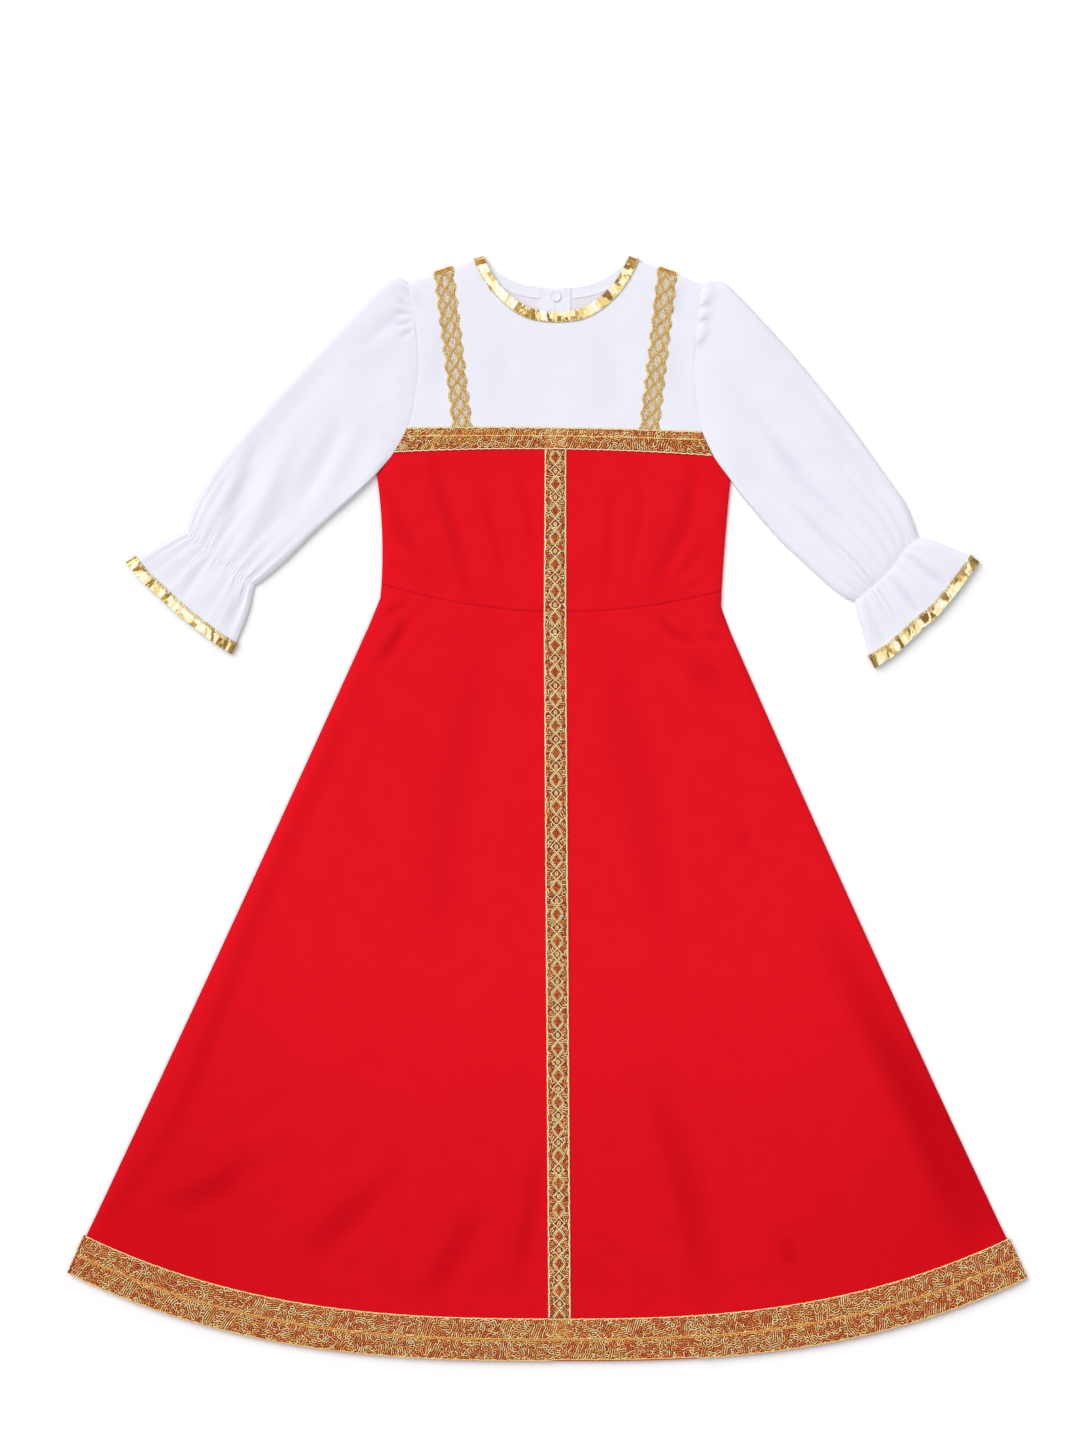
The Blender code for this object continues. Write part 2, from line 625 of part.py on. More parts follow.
def make_button():
    """A small turned button with a raised rim."""
    radius, height, rim, dish = (BUTTON[key] for key in ("radius", "height", "rim", "dish"))
    base = BACK_TOP + GAP + WALL + GAP
    profile = ((radius - 1, 0), (radius, 0.6), (radius, height - 0.5), (radius - 0.4, height),
               (radius - rim, height), (radius - rim - 0.6, height - dish), (0.9, height - dish))
    angles = np.linspace(0, 2 * np.pi, 24, endpoint=False)
    bm = bmesh.new()
    rings = [new_ring(bm, [(BUTTON["x"] + r * np.cos(a), BUTTON["y"] + r * np.sin(a), base + z) for a in angles])
             for r, z in profile]
    for first, last in zip(rings, rings[1:]):
        bridge(bm, first, last)
    bm.faces.new(rings[0][::-1])
    bm.faces.new(rings[-1])
    return add_object("button", bm, "button_plastic")


def make_neck_tape(strip):
    """Tape along the front of the neck, over both shoulders and along the back to the opening."""
    shares = np.linspace(0, BACK_TAPE_SHARE, 12)
    stations = []
    back_left = np.stack(neck_band(2, shares)[::-1], axis=1)
    back_right = np.stack(neck_band(2, 1 - shares)[::-1], axis=1)
    back_left[0], back_right[0] = strip[:, 0, :2], strip[:, -1, :2]
    front = moved_out(strip, WALL)
    stations += [flat_station(pair, TRIM, 0) for pair in back_left[::-1]]
    stations += wrap_stations(back_left[0], shoulder_outward("left"), TRIM, front[:, 0, 2] + GAP)
    stations += [grid_station(front[:, k]) for k in range(front.shape[1])]
    stations += wrap_stations(back_right[0], shoulder_outward("right"), TRIM, front[:, -1, 2] + GAP)[::-1]
    stations += [flat_station(pair, TRIM, 0) for pair in back_right]
    return band("neck_tape", stations, "gold_tape")


def make_strap(side, yoke):
    """Lace from the front chest braid over the shoulder to the back one."""
    first = len(FRONT_SPLITS[0]) + 1
    columns = slice(first, first + len(FRONT_SPLITS[1]) + 2)
    if side == "right":
        columns = slice(yoke.shape[1] - columns.stop, yoke.shape[1] - columns.start)
    rows = moved_out(yoke[: len(YOKE_ROWS), columns], WALL)
    rows[-1, :, 1] += GAP
    stations = [flat_station(row[:, :2], TRIM, 0) for row in rows[::-1]]
    stations += wrap_stations(rows[0, :, :2], shoulder_outward(side), TRIM, rows[0, :, 2] + GAP)
    stations += [grid_station(row) for row in rows]
    return band(f"strap_{side}", stations, "gold_lace")


def make_hem_braid(skirt):
    """Braid all round the hem: over the front, round the sides and under the back."""
    front = moved_out(skirt[-3:], WALL)
    back = skirt_rows(BACK_SPLITS)[-3:]
    stations = [grid_station(front[:, k]) for k in range(front.shape[1])]
    stations += wrap_stations(back[:, -1], side_outward(back[:, -1]), TRIM, front[:, -1, 2] + GAP)[::-1]
    stations += [flat_station(back[:, k], TRIM, 0) for k in range(back.shape[1] - 1, -1, -1)]
    stations += wrap_stations(back[:, 0], -side_outward(back[:, 0]), TRIM, front[:, 0, 2] + GAP)
    return band("hem_braid", stations, "gold_braid", closed=True)


def side_outward(edge):
    """Unit vector across an edge that runs down the dress, to its +X side when it is the right edge."""
    step = edge[-1] - edge[0]
    return np.array([-step[1], step[0]]) / np.linalg.norm(step)


def make_chest_braid(yoke, bodice):
    rows = np.array([yoke[-2], yoke[-1], bodice[1]])
    slab("chest_braid_front", [moved_out(rows, WALL + GAP)], TRIM, "gold_braid")
    back = [line_row(name, BACK_SPLITS) for name in ("chest_top", "chest_seam", "chest_bottom")]
    slab("chest_braid_back", [with_height(np.array(back), 0)], TRIM, "gold_braid")


def make_centre_braid(bodice, skirt):
    """Braid down the centre front, from the chest braid to the hem braid."""
    first = sum(len(split) + 1 for split in FRONT_SPLITS[:4])
    columns = slice(first, first + len(FRONT_SPLITS[4]) + 2)
    rows = np.vstack([bodice[1:-1, columns], skirt[: len(SKIRT_ROWS) + 1, columns]])
    rows[0, :, 1] -= GAP
    rows[-1, :, 1] += GAP
    slab("centre_braid", [moved_out(rows, WALL + GAP)], TRIM, "gold_braid")


def patch(start, end, top, under, start_shares, end_shares, rows):
    """Rows from one curve to another between two outlines, the columns at their shares of each curve."""
    grid = []
    for t in rows:
        share = ((1 - t) * start_shares + t * end_shares)[:, None]
        upper, lower = along(top, [t])[0], along(under, [t])[0]
        across = (1 - t) * start + t * end
        outline = (1 - share) * upper + share * lower
        corners = (1 - share) * ((1 - t) * start[0] + t * end[0]) + share * ((1 - t) * start[-1] + t * end[-1])
        grid.append(across + outline - corners)
    return grid


def sleeve_plan(side):
    """Rows of a sleeve in plan, from the armhole to the cuff, and the row at which the flare starts."""
    table = SLEEVES[side]
    sign = 1 if side == "left" else -1
    yoke, seam, chest = armhole_points(side)
    armhole = np.vstack([yoke, seam, chest])
    armhole = armhole + SEAM * sign * sideways(armhole)
    start = [armhole[0]]
    for a, b, steps in zip(armhole, armhole[1:], CAP_STEPS):
        start += [a + (b - a) * (k + 1) / steps for k in range(steps)]
    start = np.array(start)
    top, under = curve([start[0], *table["top"][1:]]), curve([start[-1], *table["under"][1:]])
    even = np.linspace(0, 1, len(start))
    elastic = along(curve(table["elastic"]), even)
    start_shares = lengths(start) / lengths(start)[-1]
    rows = patch(start, elastic, top, under, start_shares, even, [row[0] for row in SLEEVE_ROWS])
    cuff_line = curve(table["cuff"])
    inner_line = cuff_line - TAPE * sign * sideways(cuff_line)
    cuff, inner = along(cuff_line, even), along(inner_line, even)
    ends = np.array([table["flare_top"][-1], table["flare_under"][-1]])
    inner += (1 - even)[:, None] * (ends[0] - inner[0]) + even[:, None] * (ends[1] - inner[-1])
    rows += patch(elastic, inner, curve(table["flare_top"]), curve(table["flare_under"]), even, even,
                  [row[0] for row in FLARE_ROWS])
    return np.array([*rows, cuff])


def sleeve_heights(side, plan):
    """Heights of a sleeve's front and of its back at every point, and of its folds on each row."""
    heights = [row[1] for row in SLEEVE_ROWS] + [row[1] for row in FLARE_ROWS] + [CUFF_HEIGHT]
    shares = [row[0] for row in SLEEVE_ROWS] + [1 + row[0] for row in FLARE_ROWS] + [2.2]
    tape_rows = len(FLARE_ROWS) + len(SLEEVE_ROWS) - 1
    columns = plan.shape[1]
    zigzag = np.where(np.arange(columns) % 2, 1.0, -1.0)
    fronts, backs = [], []
    for k, (row, height, t) in enumerate(zip(plan, heights, shares)):
        run = lengths(row)
        share = run / run[-1]
        base = LIFT * max(1 - t / BACK_RISE, 0) if k < tape_rows else LIFT
        middle = base + (height - base) * 0.5
        near = rolled(run, SLEEVE_EDGE) * rolled(run[-1] - run, SLEEVE_EDGE)
        cap = np.exp(-t / CAP_FADE) * (share < PUFF_SHARE)
        elastic = np.exp(-abs(t - 1) / ELASTIC_FADE) if t < 1 else np.exp(-(t - 1) / 0.35)
        rise = CAP_GATHER[side] * cap * zigzag + ELASTIC_GATHER * elastic * zigzag
        rise += puffs(side, share, t)
        rise += FLARE_WAVE_HEIGHT * np.clip(t - 1.1, 0, 1) * np.sin(2 * np.pi * FLARE_WAVES * share)
        rise += fold_relief(row, SLEEVE_FOLDS)
        fronts.append(middle + (height - middle + rise) * near)
        backs.append(base + (middle - base) * (1 - near))
    return np.array(fronts), np.array(backs)


def puffs(side, share, t):
    count = CAP_PUFFS[side]
    if not count:
        return np.zeros_like(share)
    wave = np.abs(np.sin(np.pi * count * share / PUFF_SHARE)) * (share < PUFF_SHARE)
    return PUFF_HEIGHT * wave * np.exp(-(((t - 0.04) / 0.04) ** 2))


def section(row, front, back):
    """A sleeve's section as (run, height) points: along its front, and back along its underside."""
    run = lengths(row)
    under = [0, 1, *np.cumsum(CAP_STEPS)[:-1], len(row) - 2, len(row) - 1]
    lower = [(run[k], back[k]) for k in sorted(set(under)) if 0 < k < len(row) - 1]
    return np.array([*zip(run, front), *lower[::-1]])


def offset_ring(ring, distance):
    """A closed ring of (run, height) points, each moved out by this distance across the ring."""
    step = np.roll(ring, -1, axis=0) - ring
    step /= np.linalg.norm(step, axis=1)[:, None]
    normals = np.column_stack([-step[:, 1], step[:, 0]])
    both = normals + np.roll(normals, 1, axis=0)
    both /= np.linalg.norm(both, axis=1)[:, None]
    reach = np.clip((both * normals).sum(axis=1), MITRE_LIMIT, 1)
    return ring + both * (distance / reach)[:, None]


def on_row(row, ring):
    """(run, height) points as points in space, the run being measured along this row."""
    run = lengths(row)
    starts, ends = row[0] - row[1], row[-1] - row[-2]
    line = np.vstack([row[0] + 4 * starts / np.linalg.norm(starts), row, row[-1] + 4 * ends / np.linalg.norm(ends)])
    at = np.concatenate([[-4], run, [run[-1] + 4]])
    return np.column_stack([*(np.interp(ring[:, 0], at, line[:, k]) for k in range(2)), ring[:, 1]])


def make_sleeve(side):
    """A sleeve as one flattened tube with its elastic and flare, and the tape round its cuff."""
    plan = sleeve_plan(side)
    fronts, backs = sleeve_heights(side, plan)
    rings = [section(*row) for row in zip(plan, fronts, backs)]
    bm = bmesh.new()
    outer = [new_ring(bm, on_row(row, ring)) for row, ring in zip(plan, rings)]
    inner = [new_ring(bm, on_row(row, offset_ring(ring, -WALL))) for row, ring in zip(plan, rings)]
    for layer in (outer, inner):
        for first, last in zip(layer, layer[1:]):
            bridge(bm, first, last)
    bridge(bm, outer[0], inner[0])
    bridge(bm, outer[-1], inner[-1])
    add_object(f"sleeve_{side}", bm, "white_cloth")
    faces = [[on_row(row, offset_ring(ring, away)) for row, ring in zip(plan[-2:], rings[-2:])]
             for away in (GAP, GAP + TRIM)]
    stations = [([faces[0][0][k], faces[0][1][k]], [faces[1][0][k], faces[1][1][k]]) for k in range(len(rings[0]))]
    band(f"cuff_tape_{side}", stations, "gold_tape", closed=True)


def stand_on_origin():
    """Puts the middle of the whole dress's box over the origin, and its lowest point at z = 0."""
    things = [thing for thing in bpy.data.objects if thing.type == "MESH"]
    corners = np.array([vertex.co for thing in things for vertex in thing.data.vertices])
    low, high = corners.min(axis=0), corners.max(axis=0)
    for thing in things:
        thing.location = (-(low[0] + high[0]) / 2, -(low[1] + high[1]) / 2, -low[2])


def main():
    clear_scene()
    yoke_plan, strip_plan = yoke_front_plan()
    yoke = with_height(yoke_plan, yoke_front_height(yoke_plan))
    strip = with_height(strip_plan, YOKE_LOFT)
    bodice, skirt = bodice_front_grid(), skirt_front_grid()
    slab("skirt_front", [skirt], WALL, "red_cloth")
    slab("skirt_back", [skirt_back_grid()], WALL, "red_cloth")
    slab("bodice_front", [bodice], WALL, "red_cloth")
    slab("bodice_back", [bodice_back_grid()], WALL, "red_cloth")
    slab("yoke_front", [yoke, strip], WALL, "white_cloth")
    for side in ("left", "right"):
        slab(f"yoke_back_{side}", [yoke_back_grid(side)], WALL, "white_cloth")
        slab(f"back_neck_facing_{side}", [facing_grid(side)], WALL, "white_cloth")
        make_strap(side, yoke)
        make_sleeve(side)
    slab("placket", [placket_grid()], WALL, "white_cloth")
    make_button()
    make_neck_tape(strip)
    make_chest_braid(yoke, bodice)
    make_centre_braid(bodice, skirt)
    make_hem_braid(skirt)
    stand_on_origin()


main()
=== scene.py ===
import math

import bmesh
import bpy
import numpy as np
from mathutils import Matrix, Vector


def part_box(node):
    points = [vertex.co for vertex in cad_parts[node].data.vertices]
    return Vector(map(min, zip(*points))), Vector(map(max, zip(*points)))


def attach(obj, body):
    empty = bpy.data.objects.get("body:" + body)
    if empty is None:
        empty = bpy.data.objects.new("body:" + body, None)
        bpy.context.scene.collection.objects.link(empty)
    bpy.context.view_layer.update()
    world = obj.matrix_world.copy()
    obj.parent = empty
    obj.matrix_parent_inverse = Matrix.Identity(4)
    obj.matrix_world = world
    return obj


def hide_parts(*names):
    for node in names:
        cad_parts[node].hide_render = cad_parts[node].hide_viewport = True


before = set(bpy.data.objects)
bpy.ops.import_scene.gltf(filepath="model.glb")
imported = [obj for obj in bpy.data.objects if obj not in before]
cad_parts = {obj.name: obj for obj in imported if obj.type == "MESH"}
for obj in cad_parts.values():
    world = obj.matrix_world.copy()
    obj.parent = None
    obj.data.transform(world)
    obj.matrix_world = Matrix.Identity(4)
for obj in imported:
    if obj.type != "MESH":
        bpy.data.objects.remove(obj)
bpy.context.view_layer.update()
mm = 0.001
print("the solids are loaded")

# Everything below is drawn in millimetres. The button's centre ties that drawing to the solids.
buttonAt = (7.1, 477.4)
buttonLow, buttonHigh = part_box("button")
shift = np.array([(buttonLow.x + buttonHigh.x) / 2 - buttonAt[0] * mm,
                  (buttonLow.y + buttonHigh.y) / 2 - buttonAt[1] * mm, 0.0])


# Lines, waves and folds

def smoothLine(points, steps=24):
    points = np.array(points, float)
    padded = np.vstack([2 * points[0] - points[1], points, 2 * points[-1] - points[-2]])
    t = np.linspace(0, 1, steps, endpoint=False)[:, None]
    pieces = [0.5 * (2 * b + (c - a) * t + (2 * a - 5 * b + 4 * c - d) * t**2
                     + (3 * b - a - 3 * c + d) * t**3)
              for a, b, c, d in zip(padded, padded[1:], padded[2:], padded[3:])]
    return np.vstack([*pieces, points[-1:]])


def runOf(line):
    return np.concatenate([[0], np.cumsum(np.linalg.norm(np.diff(line, axis=0), axis=1))])


def atShares(line, shares):
    run = runOf(line)
    at = np.asarray(shares, float) * run[-1]
    return np.column_stack([np.interp(at, run, line[:, k]) for k in range(line.shape[1])])


def rightOf(line):  # unit vectors to the right of the way walked
    step = np.gradient(line, axis=0)
    step /= np.linalg.norm(step, axis=1)[:, None]
    return np.column_stack([step[:, 1], -step[:, 0]])


def unit(vectors):
    return vectors / np.maximum(np.linalg.norm(vectors, axis=-1, keepdims=True), 1e-9)


def rolled(distance, width):  # a quarter of an ellipse, from 0 at an edge to 1
    share = np.clip(np.asarray(distance, float) / width, 0, 1)
    return np.sqrt(1 - (1 - share) ** 2)


def bell(distance, width):
    return np.exp(-((np.asarray(distance) / width) ** 2))


def eased(value, start, end):
    share = np.clip((np.asarray(value, float) - start) / (end - start), 0, 1)
    return share * share * (3 - 2 * share)


def denseEnds(count, few, reach):  # shares from 0 to 1, closer together within reach of both ends
    start = reach * np.linspace(0, 1, few, endpoint=False) ** 2
    return np.concatenate([start, np.linspace(reach, 1 - reach, count - 2 * few), 1 - start[::-1]])


def softWaves(x, y, size, seed, count=12):  # uneven swells of about this size, mostly within -1 and 1
    rng = np.random.default_rng(seed)
    total = 0.0
    for _ in range(count):
        angle, phase = rng.uniform(0, 2 * np.pi, 2)
        pace = 2 * np.pi / (size * rng.uniform(0.7, 1.6))
        total = total + np.sin(pace * (x * np.cos(angle) + y * np.sin(angle)) + phase)
    return total / np.sqrt(count * 1.3)


def unevenPuckers(run, spacing, seed):  # small ridges along a seam, each 0 to 1, unevenly spaced
    rng = np.random.default_rng(seed)
    edges = np.concatenate([[run.min() - spacing], run.min() - spacing + np.cumsum(
        spacing * rng.uniform(0.65, 1.4, int((run.max() - run.min()) / spacing * 1.5) + 6))])
    tall = rng.uniform(0.35, 1, len(edges))
    place = np.searchsorted(edges, run) - 1
    share = (run - edges[place]) / (edges[place + 1] - edges[place])
    return tall[place] * np.sin(np.pi * share) ** 1.3


def foldHeight(x, y, folds):
    # each fold is its width, depth, lean to one side and route, and a ridge has a depth below 0
    total = np.zeros(np.broadcast(x, y).shape)
    points = np.stack(np.broadcast_arrays(x, y), -1)
    for width, depth, lean, *route in folds:
        line = smoothLine(np.array(route, float).reshape(-1, 2), 5)
        near = np.all((points > line.min(0) - 4.5 * width) & (points < line.max(0) + 4.5 * width), axis=-1)
        if not near.any():
            continue
        some, run = points[near], runOf(line)
        best, side, share = np.full(len(some), 1e9), np.zeros(len(some)), np.zeros(len(some))
        for k, (a, b) in enumerate(zip(line, line[1:])):
            step = b - a
            t = np.clip(((some - a) @ step) / (step @ step), 0, 1)
            away = some - a - t[:, None] * step
            distance = np.linalg.norm(away, axis=1)
            closer = distance < best
            best = np.where(closer, distance, best)
            side = np.where(closer, np.sign(step[0] * away[:, 1] - step[1] * away[:, 0]), side)
            share = np.where(closer, (run[k] + t * (run[k + 1] - run[k])) / run[-1], share)
        wide = width * (1 + lean * side * np.tanh(best / width))
        fade = np.clip(np.sin(np.pi * (0.04 + 0.92 * share)), 0, 1) ** 0.7
        total[near] += depth * fade * (0.3 * bell(best - 1.9 * wide, wide) - bell(best, wide))
    return total


# Meshes

def gridQuads(ids):
    return np.stack([ids[:-1, :-1], ids[1:, :-1], ids[1:, 1:], ids[:-1, 1:]], -1).reshape(-1, 4)


def zipRims(fine, coarse, kept):  # triangles between a fine rim and a coarse one that has some of its places
    tris = []
    for k, (a, b) in enumerate(zip(kept, kept[1:])):
        middle = (a + b) // 2
        tris += [(coarse[k], fine[i], fine[i + 1]) for i in range(a, middle)]
        tris.append((coarse[k], fine[middle], coarse[k + 1]))
        tris += [(coarse[k + 1], fine[i], fine[i + 1]) for i in range(middle, b)]
    return tris


def makeMesh(name, points, quads, tris=(), values=None, closed=True, sharp=50):
    quads = np.asarray(quads, int).reshape(-1, 4)
    tris = np.asarray(tris, int).reshape(-1, 3)
    points = np.array(points, float)
    points[:, 2] = np.maximum(points[:, 2], body["low"])
    mesh = bpy.data.meshes.new(name)
    mesh.vertices.add(len(points))
    mesh.vertices.foreach_set("co", (points * mm + shift).astype(np.float32).ravel())
    corners = np.concatenate([quads.ravel(), tris.ravel()]).astype(np.int32)
    mesh.loops.add(len(corners))
    mesh.loops.foreach_set("vertex_index", corners)
    starts = np.concatenate([np.arange(len(quads)) * 4, len(quads) * 4 + np.arange(len(tris)) * 3])
    mesh.polygons.add(len(starts))
    mesh.polygons.foreach_set("loop_start", starts.astype(np.int32))
    mesh.update(calc_edges=True)
    for key, value in (values or {}).items():
        mesh.attributes.new(key, "FLOAT", "POINT").data.foreach_set("value", value.astype(np.float32).ravel())
    if closed:
        bm = bmesh.new()
        bm.from_mesh(mesh)
        bmesh.ops.recalc_face_normals(bm, faces=bm.faces[:])
        bm.to_mesh(mesh)
        bm.free()
    mesh.polygons.foreach_set("use_smooth", np.ones(len(mesh.polygons), bool))
    if sharp:
        mesh.set_sharp_from_angle(angle=math.radians(sharp))
    return mesh


def addPiece(name, mesh, nodeName, material):
    piece = bpy.data.objects.new(name, mesh)
    bpy.context.collection.objects.link(piece)
    mesh.materials.append(material)
    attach(piece, "root")
    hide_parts(nodeName)
    return piece


def keptPlaces(count, step):
    return sorted({*range(0, count, step), count - 1})


def keptValues(values, keptRows, keptColumns):  # those of the fine points, then those of the coarse ones
    return {key: np.concatenate([value.ravel(), value[np.ix_(keptRows, keptColumns)].ravel()])
            for key, value in (values or {}).items()}


def shellMesh(name, fine, coarse, keptRows, keptColumns, values=None):
    # a fine side, and a coarse one that has some of its rows and columns, joined all round
    fineIds = np.arange(fine[..., 0].size).reshape(fine.shape[:2])
    coarseIds = fineIds.size + np.arange(coarse[..., 0].size).reshape(coarse.shape[:2])
    tris = []
    for fineRims, coarseRims, kept in ((fineIds, coarseIds, keptColumns), (fineIds.T, coarseIds.T, keptRows)):
        for end in (0, -1):
            tris += zipRims(fineRims[end], coarseRims[end], kept)
    return makeMesh(name, np.vstack([fine.reshape(-1, 3), coarse.reshape(-1, 3)]),
                    np.vstack([gridQuads(fineIds), gridQuads(coarseIds)]), tris,
                    keptValues(values, keptRows, keptColumns))


def panelMesh(name, fine, step, thickness, edgeZ=None, below=True, values=None):
    # fine is the side that shows. The other side is coarse, and stays clear of the fine one's dips.
    keptRows, keptColumns = keptPlaces(fine.shape[0], step), keptPlaces(fine.shape[1], step)
    coarse = fine[np.ix_(keptRows, keptColumns)].copy()
    for i, r in enumerate(keptRows):
        for j, c in enumerate(keptColumns):
            around = fine[max(r - step, 0):r + step + 1, max(c - step, 0):c + step + 1, 2]
            coarse[i, j, 2] = around.min() - thickness if below else around.max() + thickness
    if edgeZ is not None:
        coarse[:, 0, 2] = coarse[:, -1, 2] = edgeZ
    return shellMesh(name, fine, coarse, keptRows, keptColumns, values)


def ringMesh(name, outer, inner, keptRows, keptColumns, values=None):
    # two closed rings of points a row, the inner one coarse, joined at both ends
    columns = outer.shape[1]
    outerIds = np.arange(outer[..., 0].size).reshape(outer.shape[:2])
    innerIds = outerIds.size + np.arange(inner[..., 0].size).reshape(inner.shape[:2])
    outerIds = np.column_stack([outerIds, outerIds[:, 0]])
    innerIds = np.column_stack([innerIds, innerIds[:, 0]])
    kept = [*keptColumns, columns]
    tris = [*zipRims(outerIds[0], innerIds[0], kept), *zipRims(outerIds[-1], innerIds[-1], kept)]
    return makeMesh(name, np.vstack([outer.reshape(-1, 3), inner.reshape(-1, 3)]),
                    np.vstack([gridQuads(outerIds), gridQuads(innerIds)]), tris,
                    keptValues(values, keptRows, keptColumns))


# A strip is a trim's outer face: its points, station by station, and what stands out from them.

def makeStrip(points, upAt):
    normals = unit(np.cross(np.gradient(points, axis=1), np.gradient(points, axis=0)))
    if normals[upAt, :, 2].mean() < 0:
        normals = -normals
    middle = points[:, points.shape[1] // 2]
    across = np.linalg.norm(np.diff(points, axis=1), axis=2).mean(0)
    return {"points": points, "normals": normals, "run": runOf(middle),
            "across": np.concatenate([[0], np.cumsum(across)])}


def onStrip(strip, p, q):  # points and normals p along the strip and q across it
    i = np.interp(p, strip["run"], np.arange(len(strip["run"])))
    j = np.interp(q, strip["across"], np.arange(len(strip["across"])))
    i0 = np.clip(i.astype(int), 0, len(strip["run"]) - 2)
    j0 = np.clip(j.astype(int), 0, len(strip["across"]) - 2)
    s, t = (i - i0)[:, None], (j - j0)[:, None]
    found = []
    for grid in (strip["points"], strip["normals"]):
        found.append((grid[i0, j0] * (1 - s) + grid[i0 + 1, j0] * s) * (1 - t)
                     + (grid[i0, j0 + 1] * (1 - s) + grid[i0 + 1, j0 + 1] * s) * t)
    return found[0], unit(found[1])


def stripMesh(name, strip, thickness, step, closed=False, values=None):
    outer = strip["points"]
    sunk = outer - strip["normals"] * thickness
    keptAcross = keptPlaces(outer.shape[1], step)
    if closed:
        kept = list(range(0, len(outer), step))
        turned = {key: value.T for key, value in (values or {}).items()}
        return ringMesh(name, outer.transpose(1, 0, 2), sunk[np.ix_(kept, keptAcross)].transpose(1, 0, 2),
                        keptAcross, kept, turned)
    kept = keptPlaces(len(outer), step)
    return shellMesh(name, outer, sunk[np.ix_(kept, keptAcross)], kept, keptAcross, values)


# Threads are thin tubes on a strip. Each is its (p, q) places, radius, tone and how high it stands.

def threadMesh(name, strip, threads, sides=4):
    points, quads, tones, runs, count = [], [], [], [], 0
    for places, radius, tone, rise in threads:
        middle, normals = onStrip(strip, places[:, 0], places[:, 1])
        middle = middle + normals * np.asarray(rise, float).reshape(-1, 1)
        along = unit(np.gradient(middle, axis=0))
        across = unit(np.cross(along, normals))
        wide = np.broadcast_to(np.asarray(radius, float), len(middle)).reshape(-1, 1)
        ring = [middle + across * wide, middle + normals * wide, middle - across * wide]
        if sides == 4:
            ring.append(middle - normals * wide * 0.4)
        ring = np.stack(ring, 1)
        ids = count + np.arange(len(middle) * sides).reshape(-1, sides)
        nextIds = np.roll(ids, -1, axis=1)
        quads.append(np.stack([ids[:-1], ids[1:], nextIds[1:], nextIds[:-1]], -1).reshape(-1, 4))
        if sides == 4:
            quads.append(np.array([ids[0], ids[-1][::-1]]))
        points.append(ring.reshape(-1, 3))
        tones.append(np.full(len(middle) * sides, tone))
        runs.append(np.repeat(runOf(middle), sides))
        count += len(middle) * sides
    values = {"tone": np.concatenate(tones), "run": np.concatenate(runs)}
    return makeMesh(name, np.vstack(points), np.vstack(quads), (), values, closed=False, sharp=0)


def zeroLines(field):  # the lines on which a grid of numbers passes 0, as lists of (row, column) places
    above = field > 0
    rise, side = above[1:] != above[:-1], above[:, 1:] != above[:, :-1]
    riseIds = np.where(rise, np.cumsum(rise).reshape(rise.shape) - 1, -1)
    sideIds = np.where(side, np.cumsum(side).reshape(side.shape) - 1 + rise.sum(), -1)
    i, j = np.nonzero(rise)
    a, b = field[i, j], field[i + 1, j]
    places = [np.column_stack([i + a / (a - b), j])]
    i, j = np.nonzero(side)
    a, b = field[i, j], field[i, j + 1]
    places = np.vstack([*places, np.column_stack([i, j + a / (a - b)])])
    cells = np.stack([riseIds[:, :-1], riseIds[:, 1:], sideIds[:-1], sideIds[1:]], -1).reshape(-1, 4)
    crossings = (cells >= 0).sum(1)
    four = cells[crossings == 4]
    pairs = np.vstack([np.sort(cells[crossings == 2], axis=1)[:, 2:], four[:, [0, 2]], four[:, [1, 3]]])
    links = [[] for _ in places]
    for a, b in pairs.tolist():
        links[a].append(b)
        links[b].append(a)
    seen, lines = [False] * len(places), []
    for first in sorted(range(len(places)), key=lambda k: len(links[k])):
        if seen[first]:
            continue
        chain = [first]
        seen[first] = True
        while True:
            onward = [k for k in links[chain[-1]] if not seen[k]]
            if not onward:
                break
            seen[onward[0]] = True
            chain.append(onward[0])
        if len(chain) > 3 and first in links[chain[-1]]:
            chain.append(first)
        lines.append(places[chain])
    return lines


# The body's lines across: x and y of both ends, how far the middle hangs, and the power of that bow.
bodyLines = {
    "chestTop": (-130.9, 143.5, 354.8, 351.1, -2.0, 2.0),
    "chestSeam": (-133.2, 145.8, 348.3, 345.0, -1.9, 2.0),
    "chestBottom": (-142.9, 154.0, 332.0, 328.6, -4.7, 2.0),
    "underarm": (-159.1, 170.0, 312.0, 306.4, -7.0, 2.0),
    "waist": (-154.7, 161.7, 209.9, 203.4, 22.9, 2.0),
    "flare": (-156.0, 161.2, 193.9, 184.6, 18.0, 2.0),
    "braidTop": (-429.4, 427.1, -396.8, -399.8, 75.2, 2.7),
    "hem": (-444.7, 443.9, -431.6, -436.5, 78.6, 2.75),
}
body = {"waistBows": (2.6, -0.6), "skirtBows": (1.5, -2.5), "roll": 14, "gap": 0.3, "lift": 1.3,
        "edgeTop": 2.3, "insideTop": 4.9, "chestTop": 5.3, "ramp": 18, "low": 0.03, "bowReach": 0.2,
        "braidRaise": 0.2, "trim": 0.55, "under": 0.8}


def linePoint(name, share):  # share of the way across, from the left
    left, right, yLeft, yRight, sag, power = bodyLines[name]
    share = np.asarray(share, float)
    y = yLeft + (yRight - yLeft) * share - sag * (1 - np.abs(2 * share - 1) ** power)
    return np.stack([left + (right - left) * share, y], -1)


def lineY(name, x):
    left, right = bodyLines[name][:2]
    return linePoint(name, np.clip((np.asarray(x) - left) / (right - left), 0, 1))[..., 1]


def bowedTo(start, end, shares, bow):
    shares = np.asarray(shares)[:, None]
    return start + (end - start) * shares + np.array([bow, 0.0]) * 4 * shares * (1 - shares)


